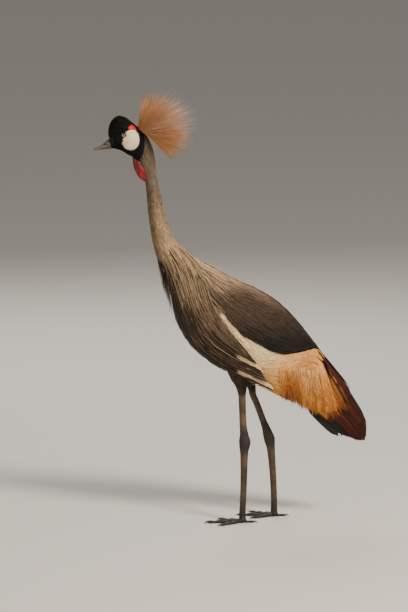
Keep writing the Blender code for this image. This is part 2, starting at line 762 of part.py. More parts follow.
def body_plumes():
    """Long plumes of the breast and flanks in tiers, and the loose locks before the breast."""
    draw = random.Random(11)
    border = between(FLANK_BORDER)
    length, width = BODY_VANE

    def flank(side):
        def surface(at, share, lift):
            edge = border(at)
            return trunk_point(at, side * math.radians(edge + (180 - edge) * share), lift)
        return surface

    plumes = []
    for number, (at, count) in enumerate(BODY_TIERS):
        for side, _ in SIDES:
            for i in range(count):
                share = (i + 0.55 + 0.25 * (number % 2)) / (count + 0.3)
                reach = length * draw.uniform(0.9, 1.12)
                tip_lift = BODY_TIP * draw.uniform(0.7, 1.3)
                start, end = (at, share), (at + reach, share + draw.uniform(-0.05, 0.05))
                plumes.append(lying_vane(flank(side), start, end, width, tip_lift, roll=0.12 * side))
    for at, turn, reach, tip_lift in LOOSE_LOCKS:
        turn = math.radians(turn)
        plumes.append(lying_vane(trunk_point, (at, turn), (at + reach, turn), 0.7 * width, tip_lift))
    return plumes


def build_neck_and_torso():
    """The neck, and the torso with its plumes down to the tail's root."""
    add_object("neck", trunk(NECK_SPAN), "neck_grey")
    torso = add_object("torso", trunk(TORSO_SPAN), "body_grey")
    combine(torso, body_plumes(), "UNION")


def border(rows):
    """A function that gives the turn of a border at a distance along the body axis."""
    off = between(rows)
    return lambda along: turn_at(along, off(along / MM) * MM)


def shield_patch(side, grow=0.0):
    """The dark shield of back and shoulder feathers."""
    low = border(SHIELD_LOW)
    layers = (flat(0), flat(-SHELL))
    return patch(SHIELD_ENDS, flat(0.0), lambda a: low(a) + OVERLAP, *layers, side, (8, 6), grow)


def white_top(along):
    """The upper border of the white coverts as a turn."""
    if along < GOLD_ENDS[0]:
        return border(SHIELD_LOW)(along)
    return border(WHITE_REAR)(along) - OVERLAP


def white_patch(side, grow=0.0, rise=0.0):
    """The white coverts below the shield."""
    return patch(WHITE_ENDS, white_top, border(WHITE_LOW), flat(rise), flat(-SHELL), side, (8, 4), grow)


def gold_patch(side, grow=0.0, rise=0.0):
    """The straw-coloured plumes behind the white coverts."""
    high, rear, low = border(SHIELD_LOW), border(WHITE_REAR), border(WING_LOW)

    def top(along):
        return high(along) if along < SHIELD_ENDS[1] else 0.0

    def bottom(along):
        return rear(along) if along < WHITE_ENDS[1] else low(along)

    return patch(GOLD_ENDS, top, bottom, flat(rise), flat(-0.6 * SHELL), side, (6, 5), grow)


def secondary_patch(side, grow=0.0):
    """The block that the chestnut secondaries grow from, behind the plumes."""
    low = border(SECONDARY_LOW)
    return patch(SECONDARY_ENDS, flat(0.0), low, flat(-0.5 * MM), flat(-0.5 * SHELL), side, (4, 4), grow)


def primary_patch(side, grow=0.0):
    """The root of the black primaries, under the plumes and below the secondaries."""
    high, low = border(SECONDARY_LOW), border(WING_LOW)
    layers = [flat(depth) for depth in PRIMARY_LAYER]
    return patch(PRIMARY_ENDS, lambda a: high(a) - 3 * OVERLAP, low, *layers, side, (5, 2), grow)


def region(first, last, side):
    """A surface over part of the wing envelope: distance along, share of the way down, lift."""
    def surface(along, share, lift):
        start, stop = first(along), last(along)
        return wing_point(along, side * (start + (stop - start) * share), lift)
    return surface


def tiered(surface, tiers, size, draw, tip_lift=2.6 * MM):
    """Broad vanes in tiers from front to rear, each tier half a vane off the one before."""
    length, width = size
    vanes = []
    for number, (along, count) in enumerate(tiers):
        for i in range(count):
            share = (i + 0.5 + 0.3 * (number % 2 - 0.5)) / count
            reach = length * draw.uniform(0.92, 1.06)
            start, end = (along * MM, share), (along * MM + reach, share)
            vanes.append(
                lying_vane(surface, start, end, width, tip_lift, BROAD, 0.06)
            )
    return vanes


def curtain(along, off, side, lift):
    """The wing envelope at a height off the axis; low down it hangs straight like a curtain."""
    middle, height, _ = wing_section(along)
    lowest = middle - CURTAIN * height
    point = wing_point(along, side * turn_at(along, max(off, lowest)), lift)
    if off < lowest:
        point.y, point.z = axis_point(along, off)
    return point


def fan_plumes(side, draw):
    """The straw plumes in three tiers down their fan."""
    def surface(across, down, lift):
        start, end = on_line(FAN_START, across), on_line(FAN_END, across)
        along, off = (a + (b - a) * down for a, b in zip(start, end))
        return curtain(along, off, side, lift)

    plumes = []
    for number, ((first, last), count) in enumerate(FAN_TIERS):
        for i in range(count):
            across = min((i + 0.35 + 0.3 * (number % 2)) / count, 1.0)
            reach = last + draw.uniform(-0.05, 0.07)
            lift = PLUME_RISE + 0.8 * MM * (i % 2)
            plumes.append(lying_vane(surface, (across, first), (across, reach), FAN_WIDTH, lift, roll=0.1))
    return plumes


def quill_fan(side, starts, ends, count, width, lifts):
    """Long flight feathers from one line to another, each lying a step below the one above."""
    def surface(share, way, lift):
        start, end = on_line(starts, share), on_line(ends, share)
        along, off = (a + (b - a) * way for a, b in zip(start, end))
        return curtain(along, off, side, lift)

    quills = []
    for i in range(count):
        share = i / (count - 1)
        lift = lifts[0] + (lifts[1] - lifts[0]) * share
        quills.append(
            lying_vane(surface, (share, 0.0), (share, 1.0), width, lift, BROAD, 0.0, lift - 0.5 * MM)
        )
    return quills


def build_wings():
    """Each folded wing as shield, white coverts, plumes, secondaries and primaries."""
    draw = random.Random(23)
    for side, name in SIDES:
        shield = add_object(f"wing_{name}_shield", shield_patch(side), "mantle_grey")
        vanes = tiered(region(flat(0.0), border(SHIELD_LOW), side), SHIELD_TIERS, SHIELD_VANE, draw)
        combine(shield, vanes, "UNION")
        coverts = add_object(f"wing_{name}_coverts", white_patch(side), "covert_white")
        vanes = tiered(region(white_top, border(WHITE_LOW), side), WHITE_TIERS, WHITE_VANE, draw)
        combine(coverts, vanes, "UNION")
        plumes = add_object(f"wing_{name}_plumes", gold_patch(side), "plume_gold")
        combine(plumes, fan_plumes(side, draw), "UNION")
        secondaries = add_object(f"wing_{name}_secondaries", secondary_patch(side), "chestnut")
        quills = quill_fan(
            side, SECONDARY_START, SECONDARY_END, SECONDARY_COUNT, SECONDARY_WIDTH, SECONDARY_LIFT
        )
        combine(secondaries, quills, "UNION")
        primaries = add_object(f"wing_{name}_primaries", primary_patch(side), "quill_black")
        quills = quill_fan(side, PRIMARY_START, PRIMARY_END, PRIMARY_COUNT, PRIMARY_WIDTH, PRIMARY_LIFT)
        combine(primaries, quills, "UNION")
        gold = gold_patch(side, GAP, WALL)
        combine(shield, [trunk(TORSO_SPAN, GAP), gold.copy(), white_patch(side, GAP, WALL)], "DIFFERENCE")
        combine(coverts, [white_patch(side, rise=WALL)], "INTERSECT")
        combine(coverts, [trunk(TORSO_SPAN, GAP), gold], "DIFFERENCE")
        combine(plumes, [trunk(TORSO_SPAN, GAP)], "DIFFERENCE")
        gold = gold_patch(side, GAP)
        combine(secondaries, [gold.copy()], "DIFFERENCE")
        combine(primaries, [trunk(TORSO_SPAN, GAP), gold, secondary_patch(side, GAP)], "DIFFERENCE")
        for node in (shield, coverts, plumes, secondaries, primaries):
            combine(node, [slab(side, GAP / 2)], "INTERSECT")


def tail_quills():
    """The tail feathers, the middle pair on top."""
    quills = []
    for side, _ in SIDES:
        for i in range(TAIL_PAIRS):
            x = side * TAIL_PITCH[0] * (i + 0.5)
            line = []
            for share in BROAD[0]:
                along = TAIL_START[0] + (TAIL_END[0] - TAIL_START[0]) * share
                off = TAIL_START[1] + (TAIL_END[1] - TAIL_START[1]) * share + i * TAIL_PITCH[1]
                spread = TAIL_SPREAD[0] + (TAIL_SPREAD[1] - TAIL_SPREAD[0]) * math.sin(math.pi * 0.5 * share)
                line.append(Vector((x * spread, *axis_point(along, off))))
            up = Vector((0, math.sin(BODY_PITCH), math.cos(BODY_PITCH)))
            outward = [(up + Vector((side * 0.12, 0, 0))).normalized()] * len(line)
            quills.append(vane(line, outward, [TAIL_WIDTH * w for w in BROAD[1]], 1.0 * MM, 1))
    return quills


def build_tail():
    """The short tail under the wing tips, feather by feather from a root block."""
    rings = []
    for along, top, bottom, wide in TAIL_RINGS:
        ring = []
        for turn in ring_turns(10):
            off = (top + bottom) / 2 + (top - bottom) / 2 * math.cos(turn)
            ring.append(Vector((wide * math.sin(turn) * MM, *axis_point(along * MM, off * MM))))
        rings.append(ring)
    tail = add_object("tail", loft(rings), "quill_black")
    combine(tail, tail_quills(), "UNION")


def limb(rows):
    """A tube along rows of (x, y, z, half width, half depth) in millimetres."""
    rings = []
    for row in rows:
        x, y, z, wide, deep = np.array(row) * MM
        turns = ring_turns(LIMB_SIDES)
        rings.append([Vector((x + wide * math.cos(t), y + deep * math.sin(t), z)) for t in turns])
    return loft(rings)


def toe_radius(share, radius, joints):
    """A toe's radius along its length, with a pad at each joint."""
    return radius * (1 - TOE_TAPER * share + TOE_KNUCKLE * math.cos(2 * math.pi * joints * share))


def toe(ankle, ahead, length, radius, joints, sides=6):
    """One toe as a loft from inside the foot to the seat of its claw."""
    across = Vector((ahead.y, -ahead.x, 0))
    rings = []
    steps = 2 * joints + 1
    for k in range(steps + 1):
        share = k / steps
        size = toe_radius(share, radius, joints)
        rise = TOE_ROOT + (TOE_PRESS * size - TOE_ROOT) * min(1.0, share * 2.2)
        centre = ankle + ahead * (share * length) + Vector((0, 0, rise))
        ring = []
        for turn in ring_turns(sides):
            ring.append(centre + across * (size * math.cos(turn)) + Vector((0, 0, size * math.sin(turn))))
        rings.append(ring)
    return loft(rings)


def claw(ankle, ahead, length, radius, joints, sides=6):
    """One claw, curving down to a blunt point at the floor."""
    across = Vector((ahead.y, -ahead.x, 0))
    size = toe_radius(1.0, radius, joints)
    start = ankle + ahead * (length + GAP) + Vector((0, 0, TOE_PRESS * size))
    rings = []
    for share in (0.0, 0.35, 0.75, 1.0):
        reach = 0.8 * size * (1 - share) ** 0.7 + CLAW_TIP
        rise = 1.2 * MM * math.sin(math.pi * share) - (start.z - 1.0 * MM) * share**1.6
        centre = start + ahead * (share * CLAW_LENGTH) + Vector((0, 0, rise))
        ring = []
        for turn in ring_turns(sides):
            flat_side = across * (CLAW_FLATNESS * reach * math.cos(turn))
            ring.append(centre + flat_side + Vector((0, 0, reach * math.sin(turn))))
        rings.append(ring)
    return loft(rings)


def floor_block():
    """A block that holds everything below the floor."""
    bm = bmesh.new()
    bmesh.ops.create_cube(bm, size=1)
    bmesh.ops.translate(bm, vec=(0, 0, -0.5), verts=bm.verts)
    return bm


def build_legs():
    """Thighs, shanks, feet and claws; the feet have small flats at floor level."""
    for side, name in SIDES:
        rows = LEG_ROWS[name]
        thigh = add_object(f"thigh_{name}", limb(rows["thigh"]), "body_grey")
        cuts = [trunk(TORSO_SPAN, GAP), white_patch(side, VANE_ROOM), gold_patch(side, VANE_ROOM)]
        combine(thigh, cuts, "DIFFERENCE")
        add_object(f"tibia_{name}", limb(rows["tibia"]), "leg_black")
        add_object(f"tarsus_{name}", limb(rows["tarsus"]), "leg_black")
        ankle = Vector((*rows["ankle"], 0)) * MM
        foot = add_object(f"foot_{name}", ball(ankle + Vector((0, 0, FOOT_RISE)), FOOT_RADII), "leg_black")
        toes = []
        for label, turn, *shape in TOES:
            heading = math.radians(rows["toe_turn"] + side * turn)
            ahead = Vector((math.sin(heading), -math.cos(heading), 0))
            toes.append(toe(ankle, ahead, *shape))
            nail = add_object(f"claw_{name}_{label}", claw(ankle, ahead, *shape), "claw_black")
            combine(nail, [floor_block()], "DIFFERENCE")
        combine(foot, toes, "UNION")
        combine(foot, [floor_block()], "DIFFERENCE")


def stand_on_origin():
    """Moves the whole bird so that the origin lies under the middle of its box."""
    nodes = [obj for obj in bpy.context.scene.objects if obj.type == "MESH"]
    corners = np.array([v.co for obj in nodes for v in obj.data.vertices])
    low, high = corners.min(0), corners.max(0)
    middle = (low + high) / 2
    for obj in nodes:
        obj.data.transform(Matrix.Translation((-middle[0], -middle[1], -low[2])))


def main():
    """Builds every node and stands the bird on the origin."""
    clear_scene()
    build_head()
    build_bill()
    build_wattle()
    build_crest()
    build_neck_and_torso()
    build_wings()
    build_tail()
    build_legs()
    stand_on_origin()


if __name__ == "__main__":
    main()
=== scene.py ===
"""Grey crowned crane: skin, plumage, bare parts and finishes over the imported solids."""

import logging
import math
from collections.abc import Callable, Sequence
from dataclasses import dataclass, field
from enum import Enum

import bmesh
import bpy
import numpy as np
from mathutils import Matrix, Vector
from mathutils.bvhtree import BVHTree
from mathutils.kdtree import KDTree


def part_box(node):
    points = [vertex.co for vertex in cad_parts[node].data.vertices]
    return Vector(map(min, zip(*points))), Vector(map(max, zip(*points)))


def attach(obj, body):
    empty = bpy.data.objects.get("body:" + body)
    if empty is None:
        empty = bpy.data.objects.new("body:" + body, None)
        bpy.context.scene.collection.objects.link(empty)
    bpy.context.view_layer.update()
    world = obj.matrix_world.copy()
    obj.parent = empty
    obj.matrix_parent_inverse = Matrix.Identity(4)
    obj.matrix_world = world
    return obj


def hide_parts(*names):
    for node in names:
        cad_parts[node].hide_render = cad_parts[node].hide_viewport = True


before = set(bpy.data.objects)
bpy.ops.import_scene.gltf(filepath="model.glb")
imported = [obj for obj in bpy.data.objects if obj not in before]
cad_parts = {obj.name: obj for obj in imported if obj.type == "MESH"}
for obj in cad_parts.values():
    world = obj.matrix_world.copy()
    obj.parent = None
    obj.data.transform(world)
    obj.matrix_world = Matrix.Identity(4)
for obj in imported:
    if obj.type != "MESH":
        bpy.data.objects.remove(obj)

LOG = logging.getLogger("crane")
MM = 0.001
SIDES = ((1, "left"), (-1, "right"))
Array = np.ndarray
Draws = np.random.Generator
Solid = bmesh.types.BMesh
Piece = bpy.types.Object
Socket = bpy.types.NodeSocket

# A shape gives points for shares round and along, a surface for two places and a lift.
Shape = Callable[[Array, Array], Array]
Surface = Callable[[Array, Array, Array], Array]

# Middle of the left eye, start of the body axis as (y, z), and how steeply the axis falls.
EYE = (17.3, -320.5, 995.5)
AXIS_START = (-199.0, 668.0)
BODY_PITCH = math.radians(38.4)
PITCH_COS, PITCH_SIN = math.cos(BODY_PITCH), math.sin(BODY_PITCH)
AXIS_UP = (0, PITCH_SIN, PITCH_COS)

# The ring of the trunk where the skin closes.
SKIN_END = 28.4

# Names of the maps and of the painted colours, and a feather's width on the bake map.
BAKE_MAP = "OFBake"
BLADE_MAP = "Blade"
TINT = "Tint"
PATCH = 0.003

# Length below which a vector counts as none.
TINY = 1e-9


def find_shift() -> Array:
    """Says how far the solids stand from the measures below, in millimetres."""
    low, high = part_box("eye_left")
    return np.array((low + high) / 2) / MM - np.array(EYE)


SHIFT = find_shift()


def spline(rows: Array, at: Array) -> Array:
    """Reads smooth curves through rows of numbers.

    Args:
        rows: One row of numbers for each knot.
        at: Places along the rows, which may be fractional.

    Returns:
        One row of numbers for each place.
    """
    at = np.clip(np.asarray(at, float), 0, len(rows) - 1)
    i = np.minimum(at.astype(int), len(rows) - 2)
    f = (at - i)[..., None]
    a, b = rows[i], rows[i + 1]
    slope_a = (b - rows[np.maximum(i - 1, 0)]) / 2
    slope_b = (rows[np.minimum(i + 2, len(rows) - 1)] - a) / 2
    return (
        (2 * f**3 - 3 * f**2 + 1) * a
        + (f**3 - 2 * f**2 + f) * slope_a
        + (3 * f**2 - 2 * f**3) * b
        + (f**3 - f**2) * slope_b
    )


def blend(low: float, high: float, value: Array) -> Array:
    """Rises smoothly from 0 at low to 1 at high."""
    t = np.clip((np.asarray(value, float) - low) / (high - low), 0, 1)
    return t * t * (3 - 2 * t)


def mix(a: Sequence[float] | Array, b: Sequence[float] | Array, share: Array) -> Array:
    """Mixes two colours, or two rows of them, by a share for each row."""
    share = np.asarray(share, float)[..., None]
    return np.asarray(a, float) * (1 - share) + np.asarray(b, float) * share


def unit(vectors: Array) -> Array:
    """Makes each vector one long."""
    return vectors / np.maximum(np.linalg.norm(vectors, axis=-1, keepdims=True), TINY)


def axis_point(along: Array, off: Array) -> tuple[Array, Array]:
    """Turns a place along the body axis and square to it into y and z."""
    y = AXIS_START[0] + along * PITCH_COS + off * PITCH_SIN
    return y, AXIS_START[1] - along * PITCH_SIN + off * PITCH_COS


def lattice(first: Array, second: Array) -> Array:
    """Pairs every number of one row with every number of another, as two rows."""
    return np.stack(np.meshgrid(first, second, indexing="ij"), -1).reshape(-1, 2).T


def on_line(rows: Sequence[tuple[float, float]], share: Array) -> tuple[Array, Array]:
    """Reads places along and off the axis off evenly counted rows, at shares of the way."""
    place, columns = np.asarray(share) * (len(rows) - 1), np.array(rows, float).T
    return tuple(np.interp(place, np.arange(len(rows)), column) for column in columns)


@dataclass(frozen=True)
class Trunk:
    """The outline of head, neck and torso, ring by ring from the bill to the tail's root."""

    head: tuple = (
        ((-357, 985), (-354, 962), 8), ((-360, 999), (-346, 960), 13),
        ((-357, 1017), (-337, 958), 17), ((-348, 1033), (-327, 955), 20),
        ((-333, 1042), (-317, 949), 22), ((-315, 1037), (-308, 942), 22),
        ((-298, 1024), (-299, 937), 21), ((-281, 1011), (-289, 926), 19),
        ((-264, 994), (-280, 917), 17), ((-252, 972), (-274, 906), 15.5),
    )
    neck: tuple = (
        ((-245, 949), (-273, 897), 14.5), ((-241, 923), (-269, 889), 14),
        ((-238, 898), (-267, 877), 13.5), ((-234, 867), (-264, 860), 14),
        ((-225, 828), (-261, 828), 15.5), ((-214, 777), (-256, 777), 18),
        ((-199, 737), (-248, 727), 22),
    )
    torso: tuple = (
        ((11, 45), (-42, -10), 26), ((54, 49), (-10, -28), 37), ((95, 52), (27, -54), 48),
        ((136, 51), (66, -83), 58), ((180, 56), (110, -115), 67), ((226, 65), (170, -137), 74),
        ((272, 69), (237, -141), 78), ((321, 66), (301, -129), 77), ((372, 53), (359, -112), 68),
        ((416, 33), (410, -87), 54), ((457, 12), (454, -66), 38), ((486, -12), (486, -48), 20),
    )

    def rows(self) -> Array:
        """Lists upper y, upper z, lower y, lower z and half width of each ring."""
        rows = [(*up, *low, wide) for up, low, wide in self.head + self.neck]
        for up, low, wide in self.torso:
            rows.append((*axis_point(*up), *axis_point(*low), wide))
        return np.array(rows, float)

    def point(self, at: Array, turn: Array, grow: Array = 0.0) -> Array:
        """Finds points on the trunk.

        Args:
            at: Places along the rings.
            turn: Turns round the ring in degrees, 0 at the back and 90 on the left.
            grow: Heights above the surface.

        Returns:
            Points in millimetres.
        """
        rows = spline(TRUNK_ROWS, at)
        uy, uz, ly, lz, wide = np.moveaxis(rows, -1, 0)
        half = np.hypot(uy - ly, uz - lz) / 2
        c, s = np.cos(np.radians(turn)), np.sin(np.radians(turn))
        reach = (half + grow) / np.maximum(half, 1e-6) * c / 2
        y = (uy + ly) / 2 + (uy - ly) * reach
        z = (uz + lz) / 2 + (uz - lz) * reach
        return np.stack([(wide + grow) * s, y, z], -1)


@dataclass(frozen=True)
class Wing:
    """The outer envelope of both folded wings, as sections square to the body axis.

    Each section is (along, top, bottom, half width). Loose feathers hang free from the share hang
    of the half height below the middle.
    """

    sections: tuple = (
        (77, 52, -92, 54), (115, 57, -121, 66), (159, 65, -139, 77), (205, 78, -148, 86),
        (269, 86, -150, 92), (333, 81, -138, 90), (385, 69, -121, 81), (436, 56, -106, 70),
        (487, 46, -93, 58), (539, 35, -86, 46), (590, 17, -93, 36), (620, 3, -94, 30),
        (648, -16, -84, 24), (674, -46, -70, 15),
    )
    squareness: float = 0.8
    hang: float = 0.8
    shield_low: tuple = (
        (77, 24), (100, 12), (151, -5), (209, -22), (250, -27), (294, -18), (332, -13), (363, 1),
        (387, 27), (413, 55), (436, 57),
    )
    white_low: tuple = (
        (150, -18), (180, -30), (205, -42), (245, -75), (270, -106), (300, -124), (333, -120),
        (385, -104), (436, -91), (487, -79), (539, -72), (590, -82), (620, -86),
    )

    def section(self, along: Array) -> tuple[Array, Array, Array]:
        """Gives the envelope's middle, half height and half width at places along the axis."""
        rows = np.array(self.sections, float)
        at = np.interp(along, rows[:, 0], np.arange(len(rows)))
        _, top, bottom, wide = np.moveaxis(spline(rows, at), -1, 0)
        return (top + bottom) / 2, (top - bottom) / 2, wide

    def squared(self, value: Array) -> Array:
        """Bends a sine or cosine towards a boxier outline."""
        return np.copysign(np.abs(value) ** self.squareness, value)

    def point(self, along: Array, turn: Array, lift: Array = 0.0) -> Array:
        """Finds points on the envelope.

        Args:
            along: Places along the body axis.
            turn: Turns in radians, 0 on the back and above 0 on the left.
            lift: Heights above the envelope.

        Returns:
            Points in millimetres.
        """
        middle, height, wide = self.section(along)
        y, z = axis_point(along, middle + (height + lift) * self.squared(np.cos(turn)))
        return np.stack([(wide + lift) * self.squared(np.sin(turn)), y, z], -1)

    def turn_at(self, along: Array, off: Array) -> Array:
        """Finds the turns where the envelope stands given heights off the axis."""
        middle, height, _ = self.section(along)
        share = np.clip((off - middle) / height, -1, 1)
        return np.arccos(np.copysign(np.abs(share) ** (1 / self.squareness), share))

    def fan(self, side: int, start: tuple, end: tuple) -> Surface:
        """Reads a fan of feathers by (share across it, share of the way, lift).

        Args:
            side: 1 for the left.
            start: The line of (along, off) that it starts from.
            end: The line that it ends on.

        Returns:
            The surface.
        """

        def surface(across: Array, way: Array, lift: Array) -> Array:
            """Points on the envelope, or hanging straight down under its widest part."""
            lines = on_line(start, across), on_line(end, across)
            along, off = (a + (b - a) * way for a, b in zip(*lines))
            middle, height, _ = self.section(along)
            lowest = middle - self.hang * height
            found = self.point(along, side * self.turn_at(along, np.maximum(off, lowest)), lift)
            low, y, z = off < lowest, *axis_point(along, off)
            found[..., 1] = np.where(low, y, found[..., 1])
            found[..., 2] = np.where(low, z, found[..., 2])
            return found

        return surface


TRUNK = Trunk()
TRUNK_ROWS = TRUNK.rows()
WING = Wing()


# Shared mesh helpers


def wrap(around: int, steps: int, shape: Shape) -> Solid:
    """Bends a grid into a closed tube and closes its ends.

    Args:
        around: Faces round the tube.
        steps: Faces along it.
        shape: Gives points in millimetres for arrays of the two shares, round and along.

    Returns:
        A closed bmesh whose bake map is the grid itself.
    """
    bm = bmesh.new()
    bm.loops.layers.uv.new(BAKE_MAP)
    bmesh.ops.create_grid(bm, x_segments=around, y_segments=steps, size=0.5, calc_uvs=True)
    flat = np.array([v.co[:2] for v in bm.verts]) + 0.5
    for vert, place in zip(bm.verts, shape(flat[:, 0], flat[:, 1])):
        vert.co = place
    bmesh.ops.remove_doubles(bm, verts=bm.verts, dist=1e-3)
    rims = [edge for edge in bm.edges if edge.is_boundary]
    bmesh.ops.holes_fill(bm, edges=rims, sides=0)
    bmesh.ops.recalc_face_normals(bm, faces=bm.faces)
    return bm


def tube(rows: Sequence[Sequence[float]], swell: Shape | None = None) -> Shape:
    """A limb's shape from rows of (x, y, z, half width, half depth).

    Args:
        rows: Rings from one end to the other, in millimetres.
        swell: Adds a height for each turn in radians and share of the length.

    Returns:
        A shape for wrap.
    """
    table = np.array(rows, float)

    def shape(u: Array, v: Array) -> Array:
        """Points on the limb."""
        x, y, z, wide, deep = np.moveaxis(spline(table, v * (len(table) - 1)), -1, 0)
        turn = u * 2 * np.pi
        more = swell(turn, v) if swell else 0.0
        return np.stack([x + (wide + more) * np.cos(turn), y + (deep + more) * np.sin(turn), z], -1)

    return shape


def joined(parts: Sequence[Solid]) -> Solid:
    """Joins bmeshes into one and uses them up."""
    whole = bmesh.new()
    for part in parts:
        made = bpy.data.meshes.new("part")
        part.to_mesh(made)
        part.free()
        whole.from_mesh(made)
        bpy.data.meshes.remove(made)
    return whole


def add_object(name: str, data: bpy.types.ID) -> Piece:
    """Puts a mesh, lamp or camera into the scene as a new object at the origin."""
    obj = bpy.data.objects.new(name, data)
    bpy.context.scene.collection.objects.link(obj)
    return obj


def add_piece(name: str, parts: Sequence[Solid], sharp: float = 40.0) -> Piece:
    """Joins bmeshes in millimetres into one object, placed where the solids are.

    Args:
        name: The piece's name.
        parts: Closed bmeshes, which are used up.
        sharp: Edges bent by more degrees than this stay crisp.

    Returns:
        The object, at the origin.
    """
    whole = joined(parts)
    bmesh.ops.scale(whole, vec=(MM, MM, MM), verts=whole.verts)
    bmesh.ops.translate(whole, vec=Vector(SHIFT * MM), verts=whole.verts)
    mesh = bpy.data.meshes.new(name)
    whole.to_mesh(mesh)
    whole.free()
    mesh.shade_smooth()
    mesh.set_sharp_from_angle(angle=math.radians(sharp))
    return add_object(name, mesh)


def paint(obj: Piece, colours: Array) -> None:
    """Stores one colour for each vertex in the tint attribute."""
    layer = obj.data.color_attributes.new(TINT, "FLOAT_COLOR", "POINT")
    full = np.ones((len(obj.data.vertices), 4), np.float32)
    full[:, :3] = np.clip(colours, 0, 1)
    layer.data.foreach_set("color", full.ravel())


def own_points(obj: Piece) -> Array:
    """Reads a piece's vertices back in the millimetres of the measures above."""
    co = np.empty(len(obj.data.vertices) * 3, np.float32)
    obj.data.vertices.foreach_get("co", co)
    return co.reshape(-1, 3) / MM - SHIFT


def finish_piece(
    obj: Piece, material: bpy.types.Material, replaced: Sequence[str]
) -> Piece:
    """Dresses a piece and ties it to the frame.

    Args:
        obj: The piece.
        material: Its material.
        replaced: The solids that it stands for.

    Returns:
        The piece.
    """
    obj.data.materials.clear()
    obj.data.materials.append(material)
    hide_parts(*replaced)
    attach(obj, "root")
    obj.data.calc_loop_triangles()
    LOG.info("%s: %d triangles", obj.name, len(obj.data.loop_triangles))
    return obj


# Feathers


class Cut(Enum):
    """How a feather is cut: shares of its length, half widths there, and the shaft's height."""

    TUFT = ((0.0, 0.55, 1.0), (0.8, 1.0), 0.25)
    BRISTLE = ((0.0, 0.25, 0.5, 0.75, 1.0), (1.0, 0.95, 0.9, 0.8), 1.0)
    HAIR = ((0.0, 0.3, 0.6, 0.85, 1.0), (0.6, 1.0, 0.85, 0.5), 0.3)
    LANCE = ((0.0, 0.2, 0.5, 0.78, 0.92, 1.0), (0.4, 0.85, 1.0, 0.72, 0.38), 0.22)
    QUILL = (
        (0.0, 0.15, 0.3, 0.45, 0.6, 0.75, 0.88, 0.96, 1.0),
        (0.5, 0.8, 0.95, 1, 1, 0.95, 0.75, 0.42), 0.12,
    )

    @property
    def shares(self) -> Array:
        """Shares of the length at which the blade is measured, the tip last."""
        return np.array(self.value[0])

    @property
    def widths(self) -> Array:
        """Half widths there as shares of the widest, 0 at the tip."""
        return np.array((*self.value[1], 0.0))

    @property
    def ridge(self) -> float:
        """Height of the shaft as a share of the half width."""
        return self.value[2]


